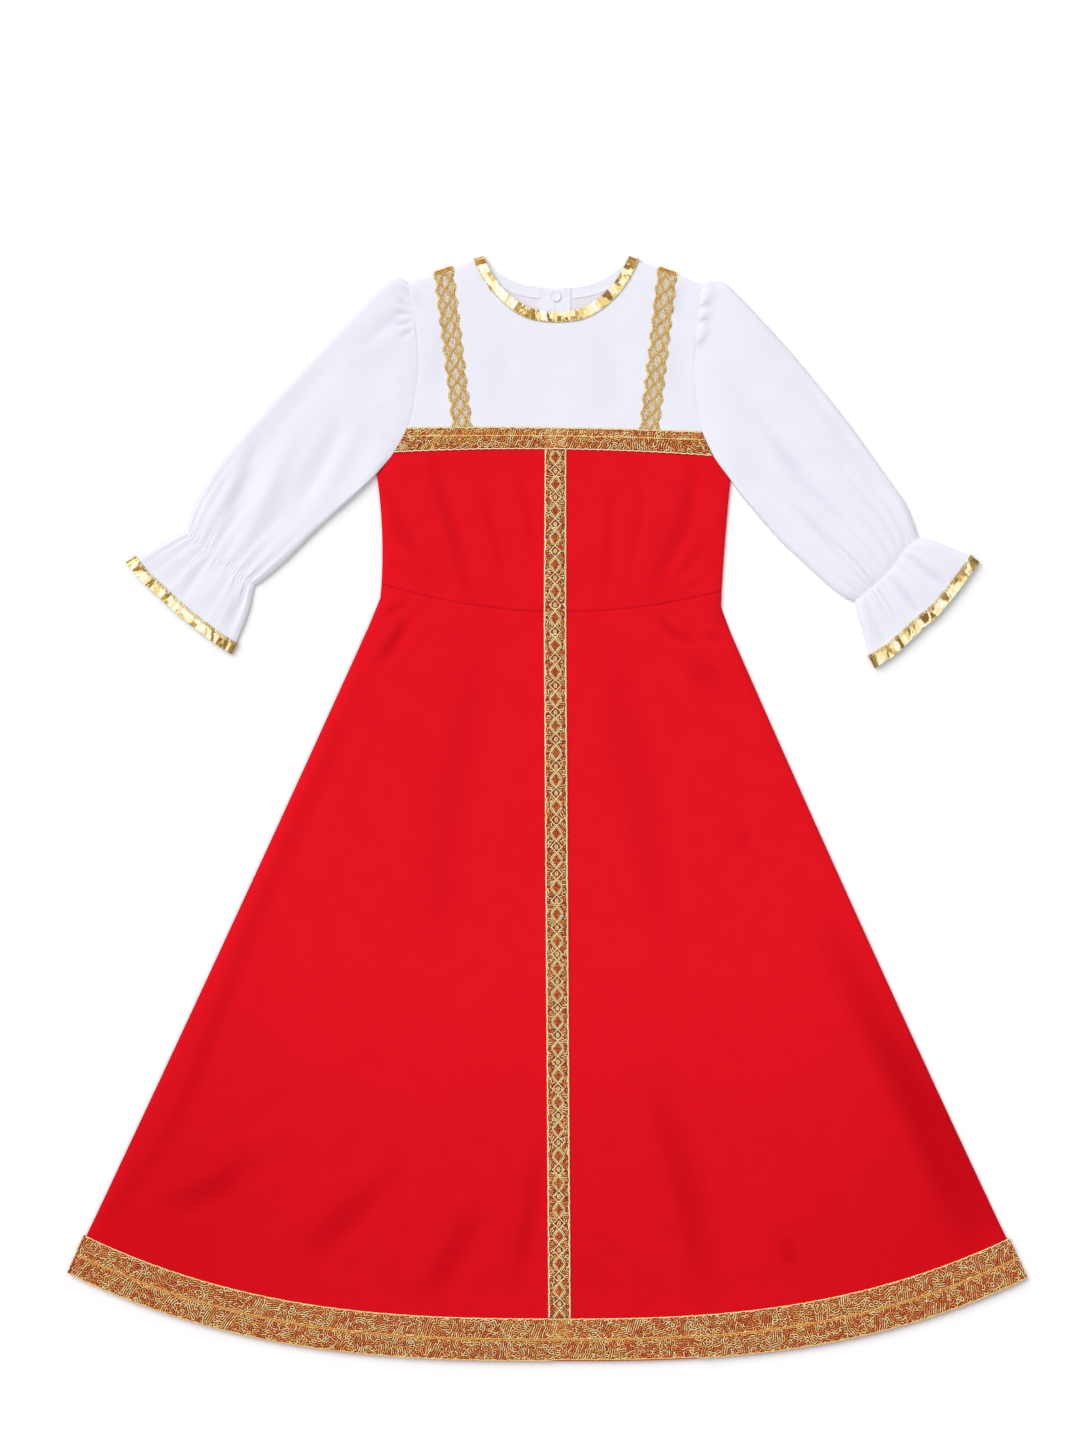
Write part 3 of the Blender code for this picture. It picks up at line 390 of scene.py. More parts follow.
def sideLine(side):
    at, k = (0, 0) if side == "left" else (1, 1)
    ends = {name: linePoint(name, at) for name in bodyLines}
    shares = np.linspace(0, 1, 40)
    return np.vstack([ends["chestTop"], ends["chestSeam"], ends["chestBottom"],
                      bowedTo(ends["underarm"], ends["waist"], shares, body["waistBows"][k]),
                      bowedTo(ends["flare"], ends["braidTop"], shares, body["skirtBows"][k]), ends["hem"]])


def sideX(side, y):
    line = sideLine(side)[::-1]
    return np.interp(y, line[:, 1], line[:, 0])


def fromSide(x, y):  # distance from the nearer side seam
    slope = 1 - 0.093 * eased(-np.asarray(y, float), -200, -170)
    return np.minimum(x - sideX("left", y), sideX("right", y) - x) * slope


def rowsBetween(first, last, shares, across, bows=(0, 0)):
    start, end = linePoint(first, across), linePoint(last, across)
    rows = []
    for share in shares:
        row = start + (end - start) * share
        bow = 4 * share * (1 - share)
        atLeft, atRight = (np.clip(1 - away / body["bowReach"], 0, 1) for away in (across, 1 - across))
        row[:, 0] += bow * (bows[0] * atLeft + bows[1] * atRight)
        rows.append(row)
    return np.array(rows)


def onHemBraid(x, y):
    top = lineY("braidTop", x)
    return 1 - eased(y, top, top + body["ramp"])


# Folds of the front: width, depth, lean, then the route.
bodiceFolds = (
    (6.5, 1.35, 0.3, -107.9, 329.9, -104.8, 307.4, -96.4, 281.3, -87.1, 251.6, -80.6, 224.6, -71.3, 192.0),
    (5.5, 0.8, -0.2, -66.7, 304.6, -55.5, 277.6, -48.1, 245.1, -38.8, 206.0),
    (5.5, 0.7, 0.2, -29.9, 327.8, -27.6, 307.4, -18.3, 274.8, -13.7, 233.9),
    (6.5, 0.9, 0.3, -151.3, 304.6, -144.8, 279.5, -130.9, 249.7, -115, 226.5, -98.8, 206),
    (4.5, 0.6, 0, -142, 231.1, -124.3, 212.5, -110.4, 199.5),
    (4.5, 0.5, 0, -135.5, 313.9, -129, 293.4),
    (8.5, 1.5, -0.3, 130.5, 327.8, 134.2, 307.4, 130.5, 279.5, 124, 256.2, 110, 229.2, 98.9, 201.3, 91.4,
     187.4),
    (5.5, 0.9, 0.2, 149.1, 251.6, 137.9, 233.9, 119.3, 215.3, 105.4, 196.7),
    (4.5, 0.7, 0, 155.6, 226.5, 144.4, 215.3, 125.8, 201.3, 110, 191.1),
    (6, 0.75, 0.2, 59.8, 304.6, 57, 274.8, 55.1, 233.9, 50.5, 187.4),
    (6, 0.7, -0.2, 86.8, 302.7, 84.9, 268.3, 80.3, 240.4, 74.7, 206),
    (5, 0.6, 0, 155.6, 320.4, 164.9, 298.1),
)
skirtFolds = (
    (6, 1.3, 0.2, -130.9, 178.1, -140.2, 160.4, -151.3, 143.7, -158.8, 137.2),
    (4.5, 0.8, 0, -130.9, 190.2, -151.3, 182.7),
    (5, 1.0, 0, 105.4, 178.1, 119.3, 162.3, 137.9, 157.6),
    (4.5, 0.8, 0, 146.3, 162.3, 164.9, 157.6),
    (7, 0.7, 0, 156, 178, 163, 171),
    (12, 0.7, 0, 133.3, 139, 160.2, 112.1),
    (9, 0.65, 0.3, -169, 123.2, -272.2, -106.5, -344.8, -287.8, -411.7, -384.6),
    (19, 1.1, -0.2, 259.8, -106.5, 314.6, -221.8, 356.5, -299.9, 392.7, -384.6),
    (13, 0.8, 0.2, -272.2, -306.4, -308.5, -348.3, -356.8, -366.9),
    (14, 0.9, 0, -156.9, -342.7, -187.6, -379, -223.9, -415.2),
    (13, 0.8, 0.2, -66.7, -372.5, -96.4, -427.3, -120.6, -457.1),
    (9, 0.7, 0, -9, -318.5, -15.5, -372.5, -30.4, -445),
    (12, -0.7, 0, -211.8, -275.7, -326.2, -336.2),
    (12, -0.6, 0, -144.8, -299.9, -187.6, -360.4),
    (10, 0.7, 0, 217.9, -396.6, 230, -427.3),
    (12, 0.6, 0, 176, -24, 187, -33),
    (16, 0.7, 0.2, 96, -250, 128, -350, 146, -452),
    (17, 0.5, 0, -236, 60, -300, -90, -350, -190),
    (20, 0.5, 0, 60, 150, 84, 20, 110, -120),
    (20, 0.45, 0, -60, 160, -88, 20, -104, -130),
    (36, 0.8, 0, 324, -120, 358, -230, 386, -330, 408, -410),
)


# A swell is its height, size and seed. Puckers are a height, a spacing, a seed and their reach from the seam.
reliefs = {
    "skirt": (0.22, 130, 3), "belowWaist": (0.3, 7.5, 11, 9),
    "bodice": (0.2, 70, 5), "aboveWaist": (0.28, 7.0, 13, 7), "belowChest": (0.3, 11, 14, 8),
    "yoke": (0.12, 60, 7), "yokeBack": (0.1, 26, 31), "facing": (0.1, 12, 33), "chestBraid": (0.15, 30, 92),
}
seams = {"waist": 0.45, "width": 1.0, "hem": 0.5, "hemPull": 0.5, "hemSpacing": 18, "hemSeed": 12}


def swell(name, x, y):
    height, size, seed = reliefs[name]
    return height * softWaves(x, y, size, seed)


def puckers(name, run, away):
    height, spacing, seed, reach = reliefs[name]
    return height * unevenPuckers(run, spacing, seed) * np.exp(-np.clip(away, 0, None) / reach)


def foldShadeOf(relief, depth):  # painted shade: how deep in a fold the cloth lies, from 0 to 1, which darkens the cloth's colour
    return np.clip(-relief / depth, 0, 1) * 0.8


def skirtTop(x, y):
    away, onBraid, below = fromSide(x, y), onHemBraid(x, y), lineY("waist", x) - y
    near = rolled(away, body["roll"])
    edge = body["edgeTop"] + body["lift"] * onBraid
    inside = body["insideTop"] + body["braidRaise"] * onBraid
    relief = foldHeight(x, y, skirtFolds) * (1 - 0.35 * onBraid) + swell("skirt", x, y)
    relief += puckers("belowWaist", x, below)
    above = y - lineY("braidTop", x)
    uneven = unevenPuckers(x, seams["hemSpacing"], seams["hemSeed"]) - 0.5
    relief += seams["hemPull"] * uneven * bell(above - 4, 9)
    relief -= seams["waist"] * bell(below, seams["width"]) + seams["hem"] * bell(above - 1.2, 2.0)
    return edge + (inside - edge + relief) * near - 0.4 * bell(away, 2.0) * (away > 0)


def bodiceTop(x, y):
    chest = eased(y, lineY("underarm", x) - 12, lineY("chestBottom", x))
    opened = eased(y, lineY("underarm", x) - 2, lineY("chestBottom", x) - 4)
    near = np.maximum(rolled(fromSide(x, y), body["roll"]), opened)
    inside = body["insideTop"] + (body["chestTop"] - body["insideTop"]) * chest
    above, below = y - lineY("waist", x), lineY("chestBottom", x) - y
    relief = 0.55 * foldHeight(x, y, bodiceFolds) + swell("bodice", x, y)
    relief += puckers("aboveWaist", x, above)
    relief += puckers("belowChest", x, below) * (below > -1)
    relief -= seams["waist"] * bell(above, seams["width"])
    return body["edgeTop"] + (inside - body["edgeTop"] + relief) * near


# Materials

def newMaterial(name):
    material = bpy.data.materials.new(name)
    material.use_nodes = True
    nodes, links = material.node_tree.nodes, material.node_tree.links
    return material, nodes, links, nodes["Principled BSDF"]


def newGroup(name, inputs, outputs):
    group = bpy.data.node_groups.new(name, "ShaderNodeTree")
    for socket, value in inputs.items():
        made = group.interface.new_socket(socket, in_out="INPUT", socket_type="NodeSocketFloat")
        made.default_value = value
    for socket in outputs:
        group.interface.new_socket(socket, in_out="OUTPUT", socket_type="NodeSocketFloat")
    return group, group.nodes.new("NodeGroupInput"), group.nodes.new("NodeGroupOutput")


def setInputs(made, **inputs):
    for key, value in inputs.items():
        made.inputs[key.replace("_", " ")].default_value = value


def node(nodes, kind, settings=None, **inputs):
    made = nodes.new(kind)
    for key, value in (settings or {}).items():
        setattr(made, key, value)
    setInputs(made, **inputs)
    return made


def onObject(nodes, links, kind, settings=None, **inputs):  # a texture on the object's own coordinates
    texture = node(nodes, kind, settings, **inputs)
    links.new(node(nodes, "ShaderNodeTexCoord").outputs["Object"], texture.inputs["Vector"])
    return texture


def attribute(nodes, name):
    return node(nodes, "ShaderNodeAttribute", {"attribute_name": name}).outputs["Fac"]


def mathNode(nodes, links, operation, *values):
    made = node(nodes, "ShaderNodeMath", {"operation": operation})
    for socket, value in zip(made.inputs, values):
        if isinstance(value, (int, float)):
            socket.default_value = value
        else:
            links.new(value, socket)
    return made.outputs[0]


def unsettled(nodes, links, value, noise, amount):  # the value, moved up and down by a noise
    around = mathNode(nodes, links, "SUBTRACT", noise, 0.5)
    return mathNode(nodes, links, "ADD", value, mathNode(nodes, links, "MULTIPLY", around, amount))


def wavesAlong(nodes, links, run, length):
    return mathNode(nodes, links, "SINE", mathNode(nodes, links, "MULTIPLY", run, 2 * math.pi / length))


def mixColours(nodes, links, amount, first, second):
    made = node(nodes, "ShaderNodeMix", {"data_type": "RGBA"})
    for socket, value in ((made.inputs[0], amount), (made.inputs[6], first), (made.inputs[7], second)):
        if isinstance(value, (int, float, tuple)):
            socket.default_value = value
        else:
            links.new(value, socket)
    return made.outputs[2]


def bumped(nodes, links, shader, height, strength, distance):
    bump = node(nodes, "ShaderNodeBump", Strength=strength, Distance=distance)
    links.new(height, bump.inputs["Height"])
    links.new(bump.outputs["Normal"], shader.inputs["Normal"])


def ramp(nodes, links, value, stops):
    made = node(nodes, "ShaderNodeValToRGB")
    links.new(value, made.inputs["Fac"])
    elements = made.color_ramp.elements
    while len(elements) < len(stops):
        elements.new(0.5)
    for element, (position, colour) in zip(elements, stops):
        element.position, element.color = position, (*colour, 1)
    return made.outputs["Color"]


def weaveGroup():  # crossing threads of cloth: how high they stand, and an uneven dye
    group, inside, outside = newGroup("clothWeave", {"Thread": 0.5, "Twill": 0.0, "Uneven": 60.0},
                                      ("Height", "Dye"))
    nodes, links = group.nodes, group.links
    split = onObject(nodes, links, "ShaderNodeSeparateXYZ")
    pace = mathNode(nodes, links, "DIVIDE", 2 * math.pi / mm, inside.outputs["Thread"])
    x = mathNode(nodes, links, "MULTIPLY", split.outputs["X"], pace)
    y = mathNode(nodes, links, "MULTIPLY", split.outputs["Y"], pace)
    lean = mathNode(nodes, links, "MULTIPLY", y, inside.outputs["Twill"])
    warp = mathNode(nodes, links, "SINE", mathNode(nodes, links, "ADD", x, lean))
    over = mathNode(nodes, links, "MAXIMUM", warp, mathNode(nodes, links, "SINE", y))
    slub = onObject(nodes, links, "ShaderNodeTexNoise", Scale=900.0, Detail=3.0)
    uneven = mathNode(nodes, links, "MULTIPLY", slub.outputs["Fac"], 0.8)
    links.new(mathNode(nodes, links, "ADD", over, uneven), outside.inputs["Height"])
    dye = onObject(nodes, links, "ShaderNodeTexNoise", Detail=5.0)
    links.new(inside.outputs["Uneven"], dye.inputs["Scale"])
    links.new(dye.outputs["Fac"], outside.inputs["Dye"])
    return group


def beadGroup():  # small packed threads and beads between a braid's cords
    group, inside, outside = newGroup("braidBeads", {"Size": 0.9}, ("Height", "Pick", "Gap"))
    nodes, links = group.nodes, group.links
    scale = mathNode(nodes, links, "DIVIDE", 1 / mm, inside.outputs["Size"])
    loose = 0.85
    cells = onObject(nodes, links, "ShaderNodeTexVoronoi", Randomness=loose)
    edges = onObject(nodes, links, "ShaderNodeTexVoronoi", {"feature": "DISTANCE_TO_EDGE"}, Randomness=loose)
    for texture in (cells, edges):
        links.new(scale, texture.inputs["Scale"])
    split = node(nodes, "ShaderNodeSeparateColor")
    links.new(cells.outputs["Color"], split.inputs[0])
    links.new(split.outputs[0], outside.inputs["Pick"])
    links.new(edges.outputs["Distance"], outside.inputs["Gap"])
    rounded = mathNode(nodes, links, "MULTIPLY", edges.outputs["Distance"], 3.0)
    links.new(mathNode(nodes, links, "MINIMUM", rounded, 1.0), outside.inputs["Height"])
    return group


weave = weaveGroup()
beads = beadGroup()
# each cloth's paintedShade colour is a painted shade, mixed in where the cloth lies in folds and seams
cloths = {
    "red": {"dark": (0.695, 0.0035, 0.0105, 1), "light": (0.755, 0.0055, 0.0135, 1),
            "paintedShade": (0.52, 0.0, 0.0055, 1), "thread": 0.55, "twill": 1.0, "bump": 0.25, "roughness": 0.86,
            "specular": 0.08},
    "white": {"dark": (0.785, 0.785, 0.87, 1), "light": (0.825, 0.825, 0.905, 1),
              "paintedShade": (0.69, 0.685, 0.80, 1), "thread": 0.45, "twill": 0.0, "bump": 0.2, "roughness": 0.8,
              "specular": 0.2},
    # the inside of the yoke back: white cloth with painted shade and a painted red bounce light from the
    # dress
    "inside": {"dark": (0.76, 0.70, 0.76, 1), "light": (0.81, 0.76, 0.82, 1),
               "paintedShade": (0.62, 0.55, 0.62, 1), "thread": 0.45, "twill": 0.0, "bump": 0.2, "roughness": 0.85,
               "specular": 0.2},
}
weaveDepth = 0.00012
beadLook = {"size": 0.95, "pick": 0.85, "dense": 0.5, "gap": 0.07, "gapShadeColour": (0.18, 0.008, 0.004, 1),
            "roughness": 0.5, "bump": 0.8, "depth": 0.0004,
            "stops": ((0.0, (0.13, 0.002, 0.002)), (0.35, (0.34, 0.008, 0.006)), (0.6, (0.54, 0.035, 0.012)),
                      (0.85, (0.66, 0.17, 0.03)), (1.0, (0.80, 0.45, 0.14)))}
threadLook = {"flicker": 0.9, "beadShading": 2.1, "beadShadeAmount": 0.16, "twist": 0.8, "bump": 0.4, "depth": 0.00012}
threadStops = {
    "goldThread": ((0.0, (0.50, 0.03, 0.012)), (0.22, (0.86, 0.24, 0.045)), (0.48, (0.86, 0.50, 0.10)),
                   (0.75, (0.98, 0.82, 0.30)), (1.0, (1.0, 0.97, 0.62))),
    "laceThread": ((0.0, (0.52, 0.21, 0.012)), (0.4, (0.76, 0.42, 0.04)), (0.7, (0.90, 0.60, 0.11)),
                   (1.0, (1.0, 0.86, 0.38))),
    "foilThread": ((0.0, (0.40, 0.21, 0.04)), (0.4, (0.70, 0.47, 0.13)), (0.7, (0.95, 0.78, 0.34)),
                   (1.0, (1.0, 0.95, 0.65))),
}
# the foil's stops run from a painted shaded brown to a painted highlight near white
foilLook = {"crinkle": 0.5, "roughness": 0.22, "bump": 0.5, "depth": 0.0006,
            "stops": ((0.0, (0.26, 0.14, 0.035)), (0.28, (0.52, 0.32, 0.10)), (0.52, (0.88, 0.66, 0.25)),
                      (0.78, (1.0, 0.88, 0.50)), (1.0, (1.0, 0.97, 0.80)))}
netLook = {"cells": 1100.0, "randomness": 0.4, "thread": 0.012, "dark": (0.66, 0.42, 0.08, 1),
           "light": (0.85, 0.66, 0.26, 1), "metallic": 0.4, "roughness": 0.45, "bump": 0.3, "depth": 0.0002}
plasticLook = {"dark": (0.80, 0.78, 0.84, 1), "light": (0.88, 0.87, 0.92, 1), "glossy": 0.25, "dull": 0.4,
               "bump": 0.15, "depth": 0.0001}


def clothMaterial(name):
    look = cloths[name]
    material, nodes, links, shader = newMaterial(f"{name}Cloth")
    cloth = node(nodes, "ShaderNodeGroup", {"node_tree": weave}, Thread=look["thread"], Twill=look["twill"],
                 Uneven=45.0)
    dyed = mixColours(nodes, links, cloth.outputs["Dye"], look["dark"], look["light"])
    # painted shade: the paintedShade attribute mixes in the cloth's shaded colour
    colour = mixColours(nodes, links, attribute(nodes, "paintedShade"), dyed, look["paintedShade"])
    links.new(colour, shader.inputs["Base Color"])
    setInputs(shader, Roughness=look["roughness"], Specular_IOR_Level=look["specular"])
    bumped(nodes, links, shader, cloth.outputs["Height"], look["bump"], weaveDepth)
    return material


def braidGroundMaterial():
    material, nodes, links, shader = newMaterial("braidGround")
    packed = node(nodes, "ShaderNodeGroup", {"node_tree": beads}, Size=beadLook["size"])
    pick = mathNode(nodes, links, "MULTIPLY", packed.outputs["Pick"], beadLook["pick"])
    dense = mathNode(nodes, links, "MULTIPLY", attribute(nodes, "dense"), beadLook["dense"])
    colour = ramp(nodes, links, mathNode(nodes, links, "ADD", pick, dense), beadLook["stops"])
    # painted shade in the narrow gaps between the beads
    gap = mathNode(nodes, links, "LESS_THAN", packed.outputs["Gap"], beadLook["gap"])
    links.new(mixColours(nodes, links, gap, colour, beadLook["gapShadeColour"]), shader.inputs["Base Color"])
    setInputs(shader, Metallic=0.0, Roughness=beadLook["roughness"])
    bumped(nodes, links, shader, packed.outputs["Height"], beadLook["bump"], beadLook["depth"])
    return material


def threadMaterial(name, metallic, roughness):
    material, nodes, links, shader = newMaterial(name)
    run = attribute(nodes, "run")
    flicker = onObject(nodes, links, "ShaderNodeTexNoise", Scale=420.0, Detail=2.0)
    tone = unsettled(nodes, links, attribute(nodes, "tone"), flicker.outputs["Fac"], threadLook["flicker"])
    # painted shade and highlight in stripes along each thread, standing for its beaded twist
    beadShading = mathNode(nodes, links, "MULTIPLY", wavesAlong(nodes, links, run, threadLook["beadShading"]),
                    threadLook["beadShadeAmount"])
    value = mathNode(nodes, links, "ADD", tone, beadShading)
    links.new(ramp(nodes, links, value, threadStops[name]), shader.inputs["Base Color"])
    setInputs(shader, Metallic=metallic, Roughness=roughness)
    twist = wavesAlong(nodes, links, run, threadLook["twist"])
    bumped(nodes, links, shader, twist, threadLook["bump"], threadLook["depth"])
    return material


def foilMaterial():
    material, nodes, links, shader = newMaterial("foilTape")
    crinkle = onObject(nodes, links, "ShaderNodeTexNoise", Scale=260.0, Detail=4.0).outputs["Fac"]
    # painted highlights and shade: the facets' tone, moved by the crinkle noise, makes the metal's colour
    # lighter or darker
    tone = unsettled(nodes, links, attribute(nodes, "tone"), crinkle, foilLook["crinkle"])
    links.new(ramp(nodes, links, tone, foilLook["stops"]), shader.inputs["Base Color"])
    setInputs(shader, Metallic=1.0, Roughness=foilLook["roughness"])
    bumped(nodes, links, shader, crinkle, foilLook["bump"], foilLook["depth"])
    return material


def netMaterial():  # fine net between the lace's cords: threads with see-through cells
    material, nodes, links, shader = newMaterial("laceNet")
    cells = onObject(nodes, links, "ShaderNodeTexVoronoi", {"feature": "DISTANCE_TO_EDGE"},
                     Scale=netLook["cells"], Randomness=netLook["randomness"])
    thread = mathNode(nodes, links, "LESS_THAN", cells.outputs["Distance"], netLook["thread"])
    tint = onObject(nodes, links, "ShaderNodeTexNoise", Scale=300.0).outputs["Fac"]
    links.new(mixColours(nodes, links, tint, netLook["dark"], netLook["light"]), shader.inputs["Base Color"])
    links.new(thread, shader.inputs["Alpha"])
    setInputs(shader, Metallic=netLook["metallic"], Roughness=netLook["roughness"])
    bumped(nodes, links, shader, thread, netLook["bump"], netLook["depth"])
    return material


def plasticMaterial():
    material, nodes, links, shader = newMaterial("buttonPlastic")
    cloud = onObject(nodes, links, "ShaderNodeTexNoise", Scale=700.0, Detail=3.0).outputs["Fac"]
    links.new(mixColours(nodes, links, cloud, plasticLook["dark"], plasticLook["light"]),
              shader.inputs["Base Color"])
    sheen = ramp(nodes, links, cloud, ((0, (plasticLook["glossy"],) * 3), (1, (plasticLook["dull"],) * 3)))
    links.new(sheen, shader.inputs["Roughness"])
    bumped(nodes, links, shader, cloud, plasticLook["bump"], plasticLook["depth"])
    return material


redCloth, whiteCloth, shadedInsideCloth = (clothMaterial(name) for name in cloths)
braidGround = braidGroundMaterial()
goldThread = threadMaterial("goldThread", 0.0, 0.42)
laceThread = threadMaterial("laceThread", 0.0, 0.42)
foilThread = threadMaterial("foilThread", 0.7, 0.3)
foilTape, laceNet, buttonPlastic = foilMaterial(), netMaterial(), plasticMaterial()
print("the finishes are mixed")


# The red skirt and bodice

def withHeight(plan, height):
    return np.concatenate([plan, np.broadcast_to(height, plan.shape[:-1])[..., None]], -1)


skirt = {"columns": 226, "fewAtSides": 9, "rowsToFlare": 12, "rows": 196, "rowsOnBraid": 16,
         "backColumns": 70, "backRows": 74, "sides": 0.02, "tuck": 0.03, "step": 6, "wall": 0.7,
         "sideZ": 1.05, "backStep": 4, "backWall": 0.6, "clear": 0.02, "dent": 0.7,
         "paintedFalloff": {"down": 0.4, "out": 0.2}}


def skirtPlan(across, toFlare, down, onBraid):
    upper = rowsBetween("waist", "flare", np.linspace(0, 1, toFlare, endpoint=False), across)
    upper[0, :, 1] -= skirt["tuck"]
    shares = np.linspace(0, 1, down, endpoint=False)
    middle = rowsBetween("flare", "braidTop", shares, across, body["skirtBows"])
    return np.vstack([upper, middle, rowsBetween("braidTop", "hem", np.linspace(0, 1, onBraid), across)])


def makeSkirt():
    across = denseEnds(skirt["columns"], skirt["fewAtSides"], skirt["sides"])
    plan = skirtPlan(across, skirt["rowsToFlare"], skirt["rows"], skirt["rowsOnBraid"])
    top = withHeight(plan, skirtTop(plan[..., 0], plan[..., 1]))
    x, y = plan[..., 0], plan[..., 1]
    # painted shade in the folds' troughs and along the waist seam
    paintedShade = foldShadeOf(foldHeight(x, y, skirtFolds), 1.5) + 0.5 * bell(y - lineY("waist", x), 0.6)
    # painted shade: the red is darker towards the hem and the sides, where the light falls off
    down, out = skirt["paintedFalloff"]["down"], skirt["paintedFalloff"]["out"]
    paintedShade += down * eased(-y, 110, 440) + out * eased(np.abs(x - 8), 180, 400) * eased(-y, 0, 200)
    mesh = panelMesh("skirtFront", top, skirt["step"], skirt["wall"], edgeZ=skirt["sideZ"],
                     values={"paintedShade": paintedShade})
    front = addPiece("skirtFront", mesh, "skirt_front", redCloth)
    plan = skirtPlan(denseEnds(skirt["backColumns"], 4, skirt["sides"]), 5, skirt["backRows"], 7)
    x, y = plan[..., 0], plan[..., 1]
    lift = body["lift"] * onHemBraid(x, y)
    dents = skirt["dent"] * np.clip(softWaves(x, 0.45 * y, 95, 21), 0, 1.4) * rolled(fromSide(x, y), 20)
    dents *= 1 - 0.6 * onHemBraid(x, y)
    under = withHeight(plan, lift + dents * 0.6 + skirt["clear"])
    mesh = panelMesh("skirtBack", under, skirt["backStep"], skirt["backWall"], below=False)
    back = addPiece("skirtBack", mesh, "skirt_back", redCloth)
    return front, back, plan


bodice = {"columns": 196, "backColumns": 50, "sides": 0.03, "step": 5, "wall": 0.8, "backStep": 3,
          "backWall": 0.6, "dent": 0.5, "tuck": 0.05}


def bodicePlan(across, upper, lower):
    chest = rowsBetween("chestSeam", "chestBottom", np.linspace(0, 1, 6, endpoint=False), across)
    chest[0, :, 1] -= bodice["tuck"]
    middle = rowsBetween("chestBottom", "underarm", np.linspace(0, 1, upper, endpoint=False), across)
    down = rowsBetween("underarm", "waist", np.linspace(0, 1, lower), across, body["waistBows"])
    down[-1, :, 1] += skirt["tuck"]
    return np.vstack([chest, middle, down])


def makeBodice():
    plan = bodicePlan(denseEnds(bodice["columns"], 8, bodice["sides"]), 12, 62)
    top = withHeight(plan, bodiceTop(plan[..., 0], plan[..., 1]))
    x, y = plan[..., 0], plan[..., 1]
    # painted shade in the folds' troughs and along the waist seam
    paintedShade = 0.5 * foldShadeOf(foldHeight(x, y, bodiceFolds), 1.5) + 0.5 * bell(y - lineY("waist", x), 0.8)
    mesh = panelMesh("bodiceFront", top, bodice["step"], bodice["wall"], values={"paintedShade": paintedShade})
    front = addPiece("bodiceFront", mesh, "bodice_front", redCloth)
    plan = bodicePlan(denseEnds(bodice["backColumns"], 4, bodice["sides"]), 4, 22)
    x, y = plan[..., 0], plan[..., 1]
    lift = body["lift"] * eased(y, lineY("underarm", x), lineY("chestBottom", x))
    dents = bodice["dent"] * np.clip(softWaves(x, y, 60, 23), 0, 1.4) * rolled(fromSide(x, y), 16)
    dents = dents * (1 - lift / body["lift"])
    under = withHeight(plan, lift + dents + skirt["clear"])
    mesh = panelMesh("bodiceBack", under, bodice["backStep"], bodice["backWall"], below=False)
    back = addPiece("bodiceBack", mesh, "bodice_back", redCloth)
    return front, back, plan


skirtFront, skirtBack, skirtFlat = makeSkirt()
bodiceFront, bodiceBack, bodiceFlat = makeBodice()
print("the skirt and the bodice are laid out")


# The white yoke, open at the neck in front and parted at the centre back

armholes = {  # from the shoulder down to the chest seam
    "left": ((-129.9, 489.7), (-126.3, 471.0), (-122.6, 444.0), (-120.5, 414.8), (-123.4, 386.0),
             (-127.0, 366.0), (-130.9, 354.8)),
    "right": ((144.2, 488.4), (140.3, 469.7), (138.0, 440.0), (136.3, 412.5), (137.2, 388.7), (140.0, 366.0),
              (143.5, 351.1)),
}
neck = {"middle": 7.9, "tape": 10.0, "notch": 1.8, "notchHalf": 3.5,
        "front": ((67.1, 512.8), (60.6, 500.2), (51.0, 486.5), (36.0, 472.8), (20.0, 465.2), (0.0, 463.0)),
        "back": ((67.1, 512.8), (60.6, 504.6), (51.0, 497.2), (36.0, 489.6), (20.0, 486.0), (0.0, 484.6))}
yoke = {"flat": 5.3, "shoulder": 3.6, "backTop": 2.3, "slope": 0.95, "loftEnd": 94.0, "loftFade": 16.0,
        "step": 5, "wall": 0.8, "backStep": 3, "backWall": 0.75, "backSink": 0.12, "overlap": 0.2,
        "frontPull": 0.25, "backPull": 0.6}
yokeFolds = (
    (6, 0.8, 0.2, 125, 486, 121, 472, 124, 458),
    (9, 0.5, 0, -96, 455, -100, 420, -104, 385),
    (11, 0.45, 0, 110, 440, 118, 412, 116, 380),
    (12, 0.35, 0, -40, 440, -48, 400, -46, 368),
    (12, 0.35, 0, 46, 445, 54, 404, 52, 366),
    (5, 0.5, 0, -122, 480, -116, 466),
)


def shoulderY(x):
    half, yNeck = neck["front"][0]
    (xLeft, yLeft), (xRight, yRight) = armholes["left"][0], armholes["right"][0]
    places = xLeft, neck["middle"] - half, neck["middle"] + half, xRight
    return np.interp(x, places, (yLeft, yNeck, yNeck, yRight))


def shoulderOutward(side):
    half, yNeck = neck["front"][0]
    sign = 1 if side == "left" else -1
    step = unit(np.array([neck["middle"] - sign * half, yNeck]) - armholes[side][0])
    return np.array([-step[1], step[0]]) * sign


def neckLine(which):
    half = neck[which]
    left = [(neck["middle"] - d, y) for d, y in half]
    return smoothLine(left + [(neck["middle"] + d, y) for d, y in half[-2::-1]])


def neckBand(which, shares):  # places on the neckline and on the tape's outer edge
    line = neckLine(which)
    inner = atShares(line, shares)
    run, across = runOf(line), rightOf(line)
    at = np.asarray(shares) * run[-1]
    turned = np.column_stack([np.interp(at, run, across[:, k]) for k in range(2)])
    outer = inner + neck["tape"] * turned
    for k, share in enumerate(shares):
        if share in (0, 1):
            outer[k] = outer[k, 0], shoulderY(outer[k, 0])
    return inner, outer


def armholeX(side, y):
    line = smoothLine(armholes[side])[::-1]
    return np.interp(y, line[:, 1], line[:, 0])


